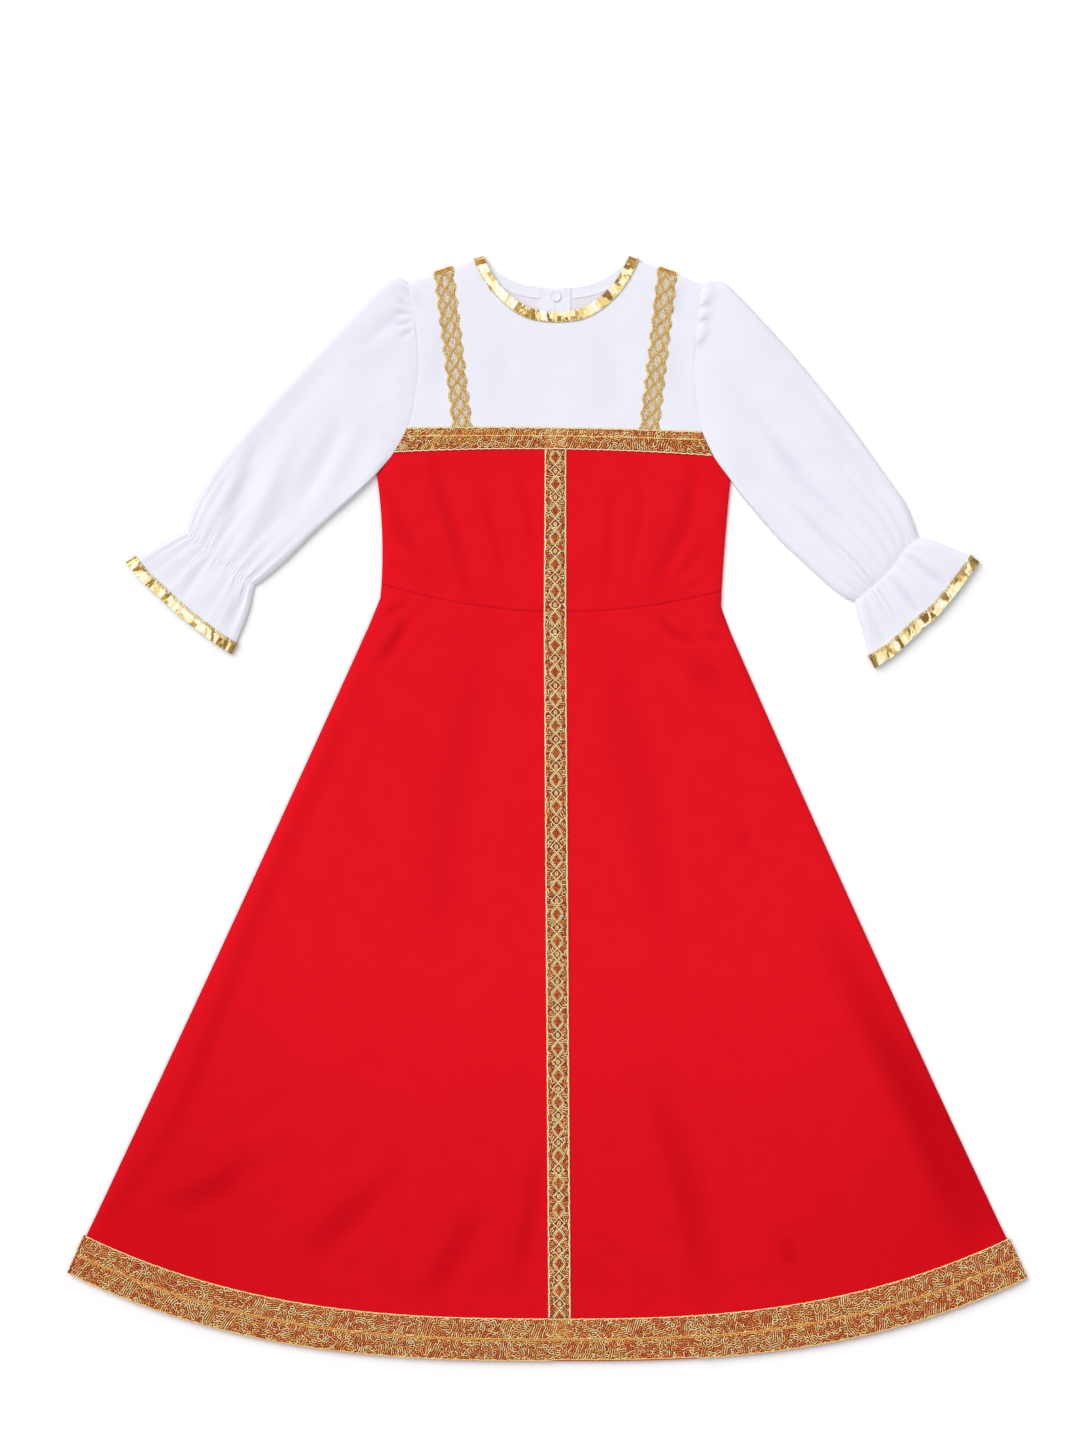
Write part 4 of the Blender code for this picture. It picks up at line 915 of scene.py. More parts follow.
def yokeTop(x, y):
    below = (shoulderY(x) - y) * yoke["slope"]
    closeness = np.clip((yoke["loftEnd"] - np.abs(x - neck["middle"])) / yoke["loftFade"], 0, 1)
    edge = yoke["shoulder"] + (yoke["flat"] - yoke["shoulder"]) * closeness
    near = rolled(below, body["roll"])
    fromArm = np.minimum(x - armholeX("left", y), armholeX("right", y) - x)
    relief = foldHeight(x, y, yokeFolds) + swell("yoke", x, y)
    relief -= 0.2 * bell(fromArm, 1.0)
    relief += 0.15 * (unevenPuckers(y, 6, 15) - 0.5) * np.exp(-np.clip(fromArm, 0, None) / 5)
    calm = eased(below, 0, 10)
    return edge + (yoke["flat"] - edge) * near + relief * calm


def notchDepth(x):
    return neck["notch"] * bell(x - neck["middle"], neck["notchHalf"])


def armholeEdge(side, at, rows):
    foot = linePoint("chestSeam", at) + [0, yoke["overlap"]]
    return atShares(smoothLine([*armholes[side], foot]), rows)


def yokeFrontPlan(shoulderColumns, neckColumns, rows):
    half = neck["front"][0][0]
    x = np.linspace(armholes["left"][0][0], neck["middle"] - half, shoulderColumns, endpoint=False)
    left = np.column_stack([x, shoulderY(x)])
    x = np.linspace(neck["middle"] + half, armholes["right"][0][0], shoulderColumns + 1)[1:]
    right = np.column_stack([x, shoulderY(x)])
    top = np.vstack([left, atShares(neckLine("front"), np.linspace(0, 1, neckColumns)), right])
    # below, the columns spread evenly, with the neck's ones drawn together a little
    share = (top[:, 0] - top[0, 0]) / (top[-1, 0] - top[0, 0])
    bottom = linePoint("chestSeam", share) + [0, yoke["overlap"]]
    sides = [armholeEdge(side, at, rows) for side, at in (("left", 0), ("right", 1))]
    plan = []
    for k, t in enumerate(rows):
        row = top + (bottom - top) * t
        row += np.clip(1 - share / yoke["frontPull"], 0, 1)[:, None] * (sides[0][k] - row[0])
        row += np.clip(1 - (1 - share) / yoke["frontPull"], 0, 1)[:, None] * (sides[1][k] - row[-1])
        plan.append(row)
    return np.array(plan)


def yokeBackPlan(side, columns, rows):
    sign = 1 if side == "left" else -1
    half = np.linspace(0, 0.5, columns)
    inner = atShares(neckLine("back"), half if side == "left" else 1 - half)
    inner[-1, 0] = neck["middle"] - sign * yoke["overlap"]
    inner[:, 1] -= notchDepth(inner[:, 0])
    x = np.linspace(armholes[side][0][0], inner[0, 0], 14, endpoint=False)
    top = np.vstack([np.column_stack([x, shoulderY(x)]), inner])
    at = 0 if side == "left" else 1
    share = (top[:, 0] - top[0, 0]) / (top[-1, 0] - top[0, 0])
    bottomX = bodyLines["chestSeam"][at] + (top[-1, 0] - bodyLines["chestSeam"][at]) * share
    bottom = np.column_stack([bottomX, lineY("chestSeam", bottomX) + yoke["overlap"]])
    edge = armholeEdge(side, at, rows)
    plan = []
    for k, t in enumerate(rows):
        row = top + (bottom - top) * t
        row += np.clip(1 - share / yoke["backPull"], 0, 1)[:, None] * (edge[k] - row[0])
        plan.append(row)
    return np.array(plan)


def makeYoke():
    rows = np.concatenate([np.linspace(0, 0.1, 12, endpoint=False), np.linspace(0.1, 1, 70)])
    plan = yokeFrontPlan(34, 84, rows)
    top = withHeight(plan, yokeTop(plan[..., 0], plan[..., 1]))
    # painted shade in the folds' troughs
    paintedShade = foldShadeOf(foldHeight(plan[..., 0], plan[..., 1], yokeFolds), 1.2)
    mesh = panelMesh("yokeFront", top, yoke["step"], yoke["wall"], values={"paintedShade": paintedShade})
    front = addPiece("yokeFront", mesh, "yoke_front", whiteCloth)
    for side in ("left", "right"):
        plan = yokeBackPlan(side, 30, np.linspace(0, 1, 46))
        x, y = plan[..., 0], plan[..., 1]
        top = withHeight(plan, yoke["backTop"] - yoke["backSink"] + swell("yokeBack", x, y))
        mesh = panelMesh(f"yokeBack{side.title()}", top, yoke["backStep"], yoke["backWall"])
        back = addPiece(mesh.name, mesh, f"yoke_back_{side}", shadedInsideCloth)


placket = {"x": 7.1, "half": 14.15, "bottom": 372.0, "top": 3.6, "gap": 0.3, "sink": 0.65, "wall": 0.6}
facing = {"share": 0.41, "columns": 40, "rows": 9, "sink": 1.0, "wall": 0.6}


def makeFacings():
    for side in ("left", "right"):
        sign = 1 if side == "left" else -1
        shares = np.linspace(0, facing["share"], facing["columns"])
        inner, outer = neckBand("back", shares if side == "left" else 1 - shares)
        end = placket["x"] - sign * (placket["half"] + placket["gap"])
        for line in (inner, outer):
            line[:, 0] = np.minimum(line[:, 0], end) if side == "left" else np.maximum(line[:, 0], end)
        down = np.linspace(0, 1, facing["rows"])
        plan = inner + (outer - inner) * down[:, None, None]
        around = np.broadcast_to(down[:, None], plan.shape[:2])
        turnedEdge = 0.25 * bell(around - 1, 0.12) + swell("facing", plan[..., 0], plan[..., 1])
        top = withHeight(plan, placket["top"] - facing["sink"] + turnedEdge)
        mesh = panelMesh(f"neckFacing{side.title()}", top, 3, facing["wall"])
        piece = addPiece(mesh.name, mesh, f"back_neck_facing_{side}", whiteCloth)


def makePlacket():
    across = np.linspace(-1, 1, 44)
    x = placket["x"] + placket["half"] * across
    line = neckLine("back")
    top = np.interp(x, line[:, 0], line[:, 1]) - notchDepth(x)
    plan = np.array([np.column_stack([x, top + (placket["bottom"] - top) * t])
                     for t in np.linspace(0, 1, 70)])
    y = plan[..., 1]
    # a turned top edge, a row of stitches across below it, and the fold that runs down from the notch
    relief = 0.18 * bell(y - 482.5, 1.6) - 0.3 * bell(y - 476.6, 0.8) - 0.25 * bell(plan[..., 0] - 8.6, 0.9)
    relief += 0.15 * bell(np.abs(across) - 0.95, 0.06)
    top = withHeight(plan, placket["top"] - placket["sink"] + relief)
    mesh = panelMesh("placketCloth", top, 4, placket["wall"])
    addPiece("placketCloth", mesh, "placket", whiteCloth)


button = {"around": 64, "radius": 4.8, "base": 3.0, "height": 1.25}


def makeButton():
    r, h = button["radius"], button["height"]
    profile = ((0, 0), (r - 1.2, 0), (r - 0.5, 0.25), (r - 0.1, 0.8), (r, 1.1), (r - 0.1, 1.5),
               (r - 0.45, h - 0.1), (r - 0.9, h), (r - 1.2, h - 0.05), (r - 1.5, h - 0.45),
               (r - 1.9, h - 0.6), (r - 2.4, h - 0.55), (r - 2.7, h - 0.35), (r - 3.0, h - 0.5),
               (1.1, h - 0.62), (0.75, h - 0.6), (0.6, h - 0.25), (0.3, h - 0.15),
               (0, h - 0.14))
    around = button["around"]
    turn = np.linspace(0, 2 * np.pi, around, endpoint=False)
    ring = np.array([[(buttonAt[0] + a * np.cos(t), buttonAt[1] + a * np.sin(t), button["base"] + z)
                      for t in turn]
                     for a, z in profile[1:-1]])
    low = ring.shape[0] * around
    high = low + 1
    ids = np.arange(low).reshape(-1, around)
    ids = np.column_stack([ids, ids[:, 0]])
    middles = [(*buttonAt, button["base"]), (*buttonAt, button["base"] + profile[-1][1])]
    points = np.vstack([ring.reshape(-1, 3), middles])
    tris = [(low, ids[0, k + 1], ids[0, k]) for k in range(around)]
    tris += [(high, ids[-1, k], ids[-1, k + 1]) for k in range(around)]
    mesh = makeMesh("buttonFace", points, gridQuads(ids), tris, sharp=60)
    addPiece("buttonFace", mesh, "button", buttonPlastic)


makeYoke()
makeFacings()
makePlacket()
makeButton()
print("the yoke, its facings, the placket and the button are in place")


# The sleeves: each one flattened tube, gathered on an elastic, with a flared cuff

sleeves = {
    "left": {
        "top": ((-129.9, 489.7), (-135.7, 493.6), (-143.5, 493.9), (-156.5, 485.3), (-172.1, 470.1),
                (-224.4, 414.8), (-271.4, 363.9), (-302.7, 327.4), (-322.2, 297.4), (-331.4, 277.8),
                (-337.1, 259.0)),
        "under": ((-159.1, 312.0), (-172.1, 298.7), (-213.9, 260.9), (-240.0, 234.8), (-261.1, 216.2),
                  (-273.0, 207.4)),
        "elastic": ((-337.1, 259.0), (-323.5, 247.1), (-307.9, 232.0), (-293.6, 222.7), (-273.0, 207.4)),
        "flareTop": ((-337.1, 259.0), (-349.7, 253.8), (-365.3, 245.1), (-382.2, 234.7)),
        "flareUnder": ((-273.0, 207.4), (-274.6, 200.0), (-279.2, 181.3), (-289.6, 155.1)),
        "cuff": ((-391.9, 229.0), (-381.0, 215.3), (-365.2, 200.4), (-347.1, 183.7), (-328.9, 168.8),
                 (-310.3, 154.8), (-294.8, 144.6)),
        "pleats": 36, "seed": 41, "puffs": 0,
        "folds": ((3.4, 0.9, 0.2, -126.0, 466, -133, 470, -138, 478),
                  (2.6, 0.8, 0, -125.2, 460.5, -133, 461.5, -142, 463.5),
                  (2.6, 0.8, 0, -124.4, 455, -131, 452, -139, 451.5),
                  (2.8, 0.7, 0, -124, 449, -130, 443.5, -136, 440),
                  (3.4, 0.8, 0.2, -127.5, 472, -130, 480, -134, 487),
                  (7, 0.7, 0, -126, 462, -150, 452, -172, 430),
                  (8, 1.5, 0.2, -266.6, 349.2, -283, 300, -302.9, 253.4),
                  (20, 1.2, 0, -171.8, 425.5, -158, 404, -145.7, 383.6),
                  (8, 1.3, 0, -190.4, 362.2, -214, 312, -239.7, 269.2),
                  (5, 1.0, 0, -320.6, 299.9, -333.6, 259.9),
                  (8, -0.9, 0, -237.8, 347.4, -258, 302, -281.5, 253.4),
                  (9, 0.8, 0, -212, 330, -246, 282, -268, 250),
                  (6, 1.3, 0.3, -283, 206, -290, 188, -300, 168),
                  (5, 0.8, 0, -318, 228, -334, 206, -346, 192),
                  (12, 0.7, 0, -158, 352, -178, 325, -196, 300),
                  (10, 0.7, 0, -205, 412, -238, 374, -262, 338)),
    },
    "right": {
        "top": ((144.2, 488.4), (148.6, 490.9), (156.4, 491.8), (164.3, 489.6), (176.0, 478.8),
                (225.3, 425.5), (277.4, 361.3), (316.9, 306.4), (331.4, 286.0), (339.2, 268.7),
                (344.7, 252.5)),
        "under": ((170.0, 306.4), (181.3, 290.6), (212.3, 254.4), (236.0, 232.0), (257.0, 212.5),
                  (275.2, 198.2), (285.5, 193.5)),
        "elastic": ((344.7, 252.5), (332.6, 242.3), (320.7, 225.8), (307.6, 212.7), (285.5, 193.5)),
        "flareTop": ((344.7, 252.5), (356.1, 250.6), (374.1, 244.1), (392.7, 235.8)),
        "flareUnder": ((285.5, 193.5), (288.2, 181.0), (293.2, 164.0), (298.8, 144.0)),
        "cuff": ((401.1, 229.5), (383.7, 205.2), (363.5, 180.5), (350.3, 169.1), (332.8, 152.4),
                 (320.5, 141.9), (304.7, 131.5)),
        "pleats": 38, "seed": 43, "puffs": 3,
        "folds": ((9, 1.4, 0.2, 199.3, 362.2, 222, 330, 241.1, 302.7, 277.4, 263.7),
                  (9, 1.2, 0, 235.6, 393.9, 266, 356, 293.2, 321.3, 329.5, 286.9),
                  (4, 0.8, 0, 230.9, 281.3, 262, 250, 293.2, 221.8),
                  (8, -0.8, 0, 222, 352, 262, 308, 300, 268),
                  (14, 0.9, 0, 172, 402, 186, 372, 198, 346),
                  (10, 0.8, 0, 180, 330, 206, 300, 226, 276),
                  (5, 0.8, 0, 322, 214, 336, 196, 348, 180),
                  (6, 0.9, 0, 340, 230, 362, 214, 378, 204),
                  (12, 0.6, 0, 196, 452, 228, 412, 246, 384)),
    },
}
sleeve = {"columns": 156, "backColumns": 30, "rows": 132, "flareRows": 34, "tapeRows": 7, "edge": 7.0,
          "tape": 10.0, "pleat": 0.95, "backRise": 0.06, "puffEdges": (0.02, 0.12, 0.19, 0.29),
          "sides": 0.03, "clear": 0.05, "rowPower": 0.95, "flarePower": 1.15, "tapeFrom": 1.93, "fade": 1.3,
          "longShare": 0.22, "longer": 2.4, "reach": (4, 13), "puff": 1.9, "fold": 1.25, "flareWave": 0.7,
          "elastic": 0.6, "armhole": 0.2, "wave": 0.18, "under": 0.35, "step": 5, "columnStep": 6,
          "backStep": 3, "wall": 0.75,
          "heights": ((0, 5.3), (0.015, 5.6), (0.04, 6.2), (0.08, 6.9), (0.15, 7.4), (0.25, 7.2), (0.37, 6.8),
                      (0.5, 6.6), (0.62, 6.5), (0.73, 6.4), (0.83, 6.3), (0.9, 6.1), (0.955, 5.6), (1, 4.6),
                      (1.12, 5.3), (1.3, 5.9), (1.6, 6.0), (2.0, 5.7), (2.2, 5.6))}


def patchRow(t, start, end, top, under, startShares, endShares):
    share = ((1 - t) * startShares + t * endShares)[:, None]
    upper, lower = atShares(top, [t])[0], atShares(under, [t])[0]
    outline = (1 - share) * upper + share * lower
    corners = (1 - share) * ((1 - t) * start[0] + t * end[0]) + share * ((1 - t) * start[-1] + t * end[-1])
    return (1 - t) * start + t * end + outline - corners


def sleevePlan(side):
    table, at, sign = sleeves[side], *((0, 1) if side == "left" else (1, -1))
    armhole = smoothLine([*armholes[side], linePoint("chestSeam", at), linePoint("chestBottom", at),
                          linePoint("underarm", at)], 12)
    armhole = armhole + sleeve["clear"] * sign * rightOf(armhole)
    columns = denseEnds(sleeve["columns"], 6, sleeve["sides"])
    start, elastic = atShares(armhole, columns), atShares(smoothLine(table["elastic"]), columns)
    cuffLine = smoothLine(table["cuff"])
    cuff = atShares(cuffLine, columns)
    inner = atShares(cuffLine - sleeve["tape"] * sign * rightOf(cuffLine), columns)
    ends = np.array([table["flareTop"][-1], table["flareUnder"][-1]])
    inner += (1 - columns)[:, None] * (ends[0] - inner[0]) + columns[:, None] * (ends[1] - inner[-1])
    top, under = smoothLine([start[0], *table["top"][1:]]), smoothLine([start[-1], *table["under"][1:]])
    down = 1 - (1 - np.linspace(0, 1, sleeve["rows"], endpoint=False)) ** sleeve["rowPower"]
    down = np.concatenate([[0, 0.002, 0.005], down[1:]])
    rows = [patchRow(t, start, elastic, top, under, columns, columns) for t in down]
    flare = np.linspace(0, 1, sleeve["flareRows"], endpoint=False) ** sleeve["flarePower"]
    flareEdges = smoothLine(table["flareTop"]), smoothLine(table["flareUnder"])
    rows += [patchRow(t, elastic, inner, *flareEdges, columns, columns) for t in flare]
    tape = np.linspace(0, 1, sleeve["tapeRows"])
    rows += [inner + (cuff - inner) * t for t in tape]
    return np.array(rows), np.concatenate([down, 1 + flare, 2 + 0.2 * tape])


def pleatHeight(side, share, t, lengths):
    rng = np.random.default_rng(sleeves[side]["seed"])
    edges = np.cumsum(rng.uniform(0.6, 1.4, sleeves[side]["pleats"] + 1))
    edges = 0.015 + 0.97 * (edges - edges[0]) / (edges[-1] - edges[0])
    above, below = (1 - np.minimum(t, 1)) * lengths[0], (np.maximum(t, 1) - 1) * lengths[1]
    total = np.zeros_like(share)
    for a, b in zip(edges, edges[1:]):
        inside = np.clip((share - a) / (b - a), 0, 1)
        shape = np.sin(np.pi * inside) ** 0.75
        long = sleeve["longer"] if rng.uniform() < sleeve["longShare"] else 1
        reach = long * rng.uniform(*sleeve["reach"]), long * rng.uniform(*sleeve["reach"])
        fadeUp = np.exp(-((above / reach[0]) ** sleeve["fade"]))
        fadeDown = np.exp(-((below / reach[1]) ** sleeve["fade"]))
        total += rng.uniform(0.35, 0.95) * shape * fadeUp * fadeDown
    total *= sleeve["pleat"]
    edges = np.cumsum(rng.uniform(0.5, 1.5, 10))
    edges = 0.01 + 0.98 * (edges - edges[0]) / (edges[-1] - edges[0])
    for a, b in zip(edges, edges[1:]):  # the wide folds that the pleats run out into
        inside = np.clip((share - a) / (b - a), 0, 1)
        shape = np.sin(np.pi * inside) ** 2
        reach = rng.uniform(35, 75), rng.uniform(35, 70)
        amount = bell(above - 14, reach[0]) * bell(below - 12, reach[1]) * (1 - bell(above + below, 6))
        total += rng.uniform(0.4, 1.0) * shape * amount
    return total


def capHeight(side, share, t, length):
    table = sleeves[side]
    total, out = np.zeros_like(share), t * length
    edges = sleeve["puffEdges"][:table["puffs"] + 1]
    for a, b in zip(edges, edges[1:]):
        inside = np.clip((share - a) / (b - a), 0, 1)
        lobe = np.sin(np.pi * inside) ** 0.6
        reach = 3.5 + 4.5 * lobe
        total += sleeve["puff"] * lobe * bell(out - 0.7 * reach, 0.62 * reach)
    total += 0.25 * (unevenPuckers(share * 190, 8, table["seed"]) - 0.4) * np.exp(-out / 10) * (share > 0.3)
    return total


def sleeveRing(row, front, backRun, back, away, past=4):  # along the front, and back along the underside
    run = runOf(row)
    ring = np.array([*zip(run, front), *zip(backRun, back)])
    step = unit(np.roll(ring, -1, axis=0) - ring)
    normals = np.column_stack([-step[:, 1], step[:, 0]])
    both = unit(normals + np.roll(normals, 1, axis=0))
    ring = ring + both * away
    starts, ends = unit(row[0] - row[1]), unit(row[-1] - row[-2])
    line = np.vstack([row[0] + past * starts, row, row[-1] + past * ends])
    at = np.concatenate([[-past], run, [run[-1] + past]])
    return np.column_stack([*(np.interp(ring[:, 0], at, line[:, k]) for k in range(2)), ring[:, 1]])


def sleeveSection(side, plan, places):
    along = plan[[0, sleeve["rows"], -1], 70]
    lengths = [np.linalg.norm(step) for step in np.diff(along, axis=0)]
    run = np.array([runOf(row) for row in plan])
    share = run / run[:, -1:]
    t = np.broadcast_to(places[:, None], share.shape)
    keys = np.array(sleeve["heights"])
    height = np.interp(t, keys[:, 0], keys[:, 1])
    height = (np.roll(height, 1, 0) + height + np.roll(height, -1, 0)) / 3
    height[0], height[-1] = keys[0, 1], keys[-1, 1]
    tapeStart = len(places) - sleeve["tapeRows"]
    base = body["lift"] * np.clip(1 - t / sleeve["backRise"], 0, 1)
    base[tapeStart:] = body["lift"]
    for k in range(1, 6):
        base[tapeStart - k] = body["lift"] * (1 - k / 6)
    middle = base + (height - base) * 0.5
    near = rolled(run, sleeve["edge"]) * rolled(run[:, -1:] - run, sleeve["edge"])
    onTape = eased(t, sleeve["tapeFrom"], 2.0)
    rise = pleatHeight(side, share, t, lengths) + capHeight(side, share, t, lengths[0])
    x, y, seed = plan[..., 0], plan[..., 1], sleeves[side]["seed"]
    rise += sleeve["fold"] * foldHeight(x, y, sleeves[side]["folds"])
    rise += sleeve["flareWave"] * eased(t, 1.15, 1.9) * softWaves(share * 100, 0 * share, 26, seed + 3, 5)
    rise -= sleeve["elastic"] * bell((t - 1) * lengths[0] * np.where(t < 1, 1, 0.25), 2.2)
    rise -= sleeve["armhole"] * bell(t * lengths[0], 1.0)
    rise = rise * (1 - 0.7 * onTape) + sleeve["wave"] * softWaves(x, y, 45, seed + 5)
    # painted shade in the valleys between the pleats: where the cloth lies below its neighbours, its colour
    # is darkened
    around = sum(np.roll(rise, k, 1) for k in range(-7, 8)) / 15
    paintedShade = 0.75 * np.clip((around - rise - 0.03) / 0.5, 0, 1) * near * (1 - onTape)
    front = middle + (height - middle + rise) * near
    back = base + (middle - base) * (1 - near)
    back += sleeve["under"] * np.clip(softWaves(x, y, 40, seed + 9), 0, 1.5) * near * (t < 1.9)
    return front, back, run, paintedShade


def makeSleeve(side):
    plan, places = sleevePlan(side)
    front, back, run, paintedShade = sleeveSection(side, plan, places)
    under = np.linspace(0, plan.shape[1] - 1, sleeve["backColumns"] + 2).round().astype(int)[1:-1][::-1]
    under = np.concatenate([[plan.shape[1] - 3], under, [2]])
    outer = np.array([sleeveRing(row, f, r[under], b[under], 0)
                      for row, f, b, r in zip(plan, front, back, run)])
    step = sleeve["step"]
    keptRows = keptPlaces(len(plan), step)
    keptColumns = [*range(0, plan.shape[1], sleeve["columnStep"]),
                   *range(plan.shape[1], outer.shape[1], sleeve["backStep"])]
    inner = []
    for k in keptRows:
        lowest = front[max(k - step, 0):k + step + 1].min(0)
        inner.append(sleeveRing(plan[k], lowest, run[k][under], back[k][under], -sleeve["wall"]))
    inner = np.array(inner)[:, keptColumns]
    name = f"sleeve{side.title()}"
    values = {"paintedShade": np.hstack([paintedShade, np.zeros((len(plan), len(under)))])}
    mesh = ringMesh(name, outer, inner, keptRows, keptColumns, values)
    piece = addPiece(name, mesh, f"sleeve_{side}", whiteCloth)
    return plan, front, back, run, under


sleeveParts = {side: makeSleeve(side) for side in ("left", "right")}
print("the sleeves are gathered")


# Foil tape at the neck and the cuffs: crinkled in facets, with a stitched cord along one edge

foil = {"wall": 0.55, "lift": 0.75, "backLift": 0.12, "cuffLift": 1.05, "cuffLow": 0.25, "across": 9,
        "cuffShows": 0.15, "facet": (1.3, 5.2), "crinkle": 0.45, "rim": 0.5, "stitch": 2.3, "plain": 0.22,
        "facetLightLevels": (0.02, 0.3, 0.55, 0.8, 1.0), "shares": (0.14, 0.14, 0.18, 0.27, 0.27)}


def crinkled(run, across, seed, plainEnds):  # facet by facet: a height, and a painted brightness for the light each one catches
    rng = np.random.default_rng(seed)
    count = int(run.max() / foil["facet"][0]) + 12
    edges = np.concatenate([[-8.0], -8 + np.cumsum(rng.uniform(*foil["facet"], count))])
    tilt, slant = rng.uniform(-1, 1, (2, len(edges))), rng.uniform(-0.6, 0.6, len(edges))
    facetLight = rng.choice(foil["facetLightLevels"], (2, len(edges)), p=foil["shares"])
    facetLight = facetLight + rng.uniform(-0.08, 0.08, (2, len(edges)))
    split = rng.uniform(2, 14, len(edges))  # some facets break along the tape too
    at = run[:, None] + 0 * across[None, :]
    place = np.searchsorted(edges, at + slant[np.searchsorted(edges, at) - 1] * (across[None, :] - 5)) - 1
    place = np.clip(place, 0, len(edges) - 2)
    part = (across[None, :] > split[place]).astype(int)
    share = (at - edges[place]) / (edges[place + 1] - edges[place]) - 0.5
    height = tilt[part, place] * share + 0.5 * (facetLight[part, place] - 0.5)
    height += 0.35 * tilt[1 - part, place] * (across[None, :] / 10 - 0.5)
    # the uncrinkled ends take one dim tone, a painted shade
    plain = np.zeros(len(run))
    for first, last in plainEnds:
        plain = np.maximum(plain, ((run > first) & (run < last)).astype(float))
    plain = plain[:, None]
    return height * (1 - plain), facetLight[part, place] * (1 - plain) + foil["plain"] * plain


def wrapPoints(edge, outward, low, high, steps=9):  # half a turn round an edge, from the back to the front
    middle, half = (low + high) / 2, (high - low) / 2
    rows = []
    for angle in np.linspace(-np.pi / 2, np.pi / 2, steps + 2)[1:-1]:
        flat = edge + outward * 2.2 * np.cos(angle)
        rows.append(np.column_stack([flat, middle + half * np.sin(angle)]))
    return np.array(rows)


def foilPiece(name, nodeName, strip, rims, closed, seed, plainEnds):
    run, across = strip["run"], strip["across"]
    height, facetLight = crinkled(run, across, seed, plainEnds)
    calm = np.clip(np.minimum(across - across[0], across[-1] - across) / 1.2, 0.15, 1)[None, :]
    up = np.where(strip["normals"][..., 2] < -0.3, np.clip(height, -1, 0), height)
    strip["points"] = strip["points"] + strip["normals"] * (foil["crinkle"] * up * calm)[..., None]
    mesh = stripMesh(name, strip, foil["wall"], 2, closed, {"tone": facetLight})
    band = addPiece(name, mesh, nodeName, foilTape)
    p = np.arange(0.3, run[-1] - 0.2, 0.8)
    rng = np.random.default_rng(seed + 1)
    threads = []
    for rimAt, size in rims:
        threads.append((np.column_stack([p, rimAt + 0.12 * np.sin(p / 1.7)]), foil["rim"] * size, 0.85, 0.25))
        for at in np.arange(0.8, run[-1] - 0.8, foil["stitch"]):
            at = at + rng.uniform(-0.25, 0.25)
            cross = np.linspace(-0.9, 0.9, 5) * size
            places = np.column_stack([at + 0.5 * cross, rimAt + cross])
            tone = rng.choice((0.1, 0.45, 0.95))
            threads.append((places, 0.36 * size, tone, 0.35 + 0.5 * np.cos(cross / 0.9 * 1.35)))
    mesh = threadMesh(f"{name}Rim", strip, threads)
    rim = addPiece(mesh.name, mesh, nodeName, foilThread)


def makeNeckTape():
    shares = np.linspace(0, 1, 190)
    inner, outer = neckBand("front", shares)
    across = np.linspace(0, 1, foil["across"])[None, :, None]
    plan = inner[:, None] + (outer - inner)[:, None] * across
    front = withHeight(plan, yoke["flat"] + body["gap"] + foil["lift"])
    shares = np.linspace(0, 0.47, 60)
    backs = []
    for side, at in (("left", shares), ("right", 1 - shares)):
        inner, outer = neckBand("back", at)
        flat = inner[:, None] + (outer - inner)[:, None] * across
        backs.append(withHeight(flat, foil["backLift"]))
    ends = [wrapPoints(plan[k], shoulderOutward(side), foil["backLift"], front[k, :, 2])
            for k, side in ((0, "left"), (-1, "right"))]
    points = np.vstack([backs[0][::-1], ends[0], front, ends[1][::-1], backs[1]])
    before = len(backs[0]) + len(ends[0])
    strip = makeStrip(points, before + 90)
    first, last = strip["run"][before], strip["run"][before + len(front) - 1]
    plainEnds = ((first - 3, first + 5), (last - 4.5, last + 3))
    rims = ((strip["across"][-1] - 0.75, 0.7),)
    foilPiece("neckFoil", "neck_tape", strip, rims, False, 51, plainEnds)


def makeCuffTape(side):
    plan, front, back, run, under = sleeveParts[side]
    start = len(plan) - sleeve["tapeRows"]
    rows = np.array([sleeveRing(plan[k], front[k], run[k][under], back[k][under], foil["cuffLift"])
                     for k in range(start, len(plan))])
    at = np.linspace(0, 1, foil["across"]) * (len(rows) - 1)
    low = np.clip(at.astype(int), 0, len(rows) - 2)
    grid = rows[low] * (1 - (at - low))[:, None, None] + rows[low + 1] * (at - low)[:, None, None]
    grid[-1] = grid[-1] + (grid[-2] - grid[-1]) * foil["cuffShows"]  # a sliver of the sleeve shows beyond
    points = grid.transpose(1, 0, 2)
    points[..., 2] = np.maximum(points[..., 2], foil["cuffLow"])
    points = np.concatenate([points, points[:1]])
    points = np.stack([atShares(points[:, k], np.linspace(0, 1, 280)) for k in range(points.shape[1])], 1)
    strip = makeStrip(points[:-1], 70)
    half, end = strip["run"][-1] / 2, strip["run"][-1]
    plainEnds = ((-1, 6.5), (half - 5, half + 3), (end - 3, end + 1))
    foilPiece(f"cuffFoil{side.title()}", f"cuff_tape_{side}", strip, ((0.7, 0.8), (2.3, 0.75)), True,
                     53 if side == "left" else 55, plainEnds)


makeNeckTape()
for side in ("left", "right"):
    makeCuffTape(side)
print("the foil tapes are sewn on")


# Braids: a ground of packed beads, with raised gold cords in scrolls, and an edge of loops

braid = {"wave": 4.0, "bars": 0.7, "grid": 0.5, "radius": 0.5, "step": 0.95, "backStep": 1.7, "edge": 0.55,
         "loop": 2.3, "wall": 0.4, "waves": 40, "scrolls": 26, "pieces": (2.5, 9), "tones": (0.8, 0.52, 0.24),
         "toneShares": (0.4, 0.28, 0.32), "loopThread": 0.36}


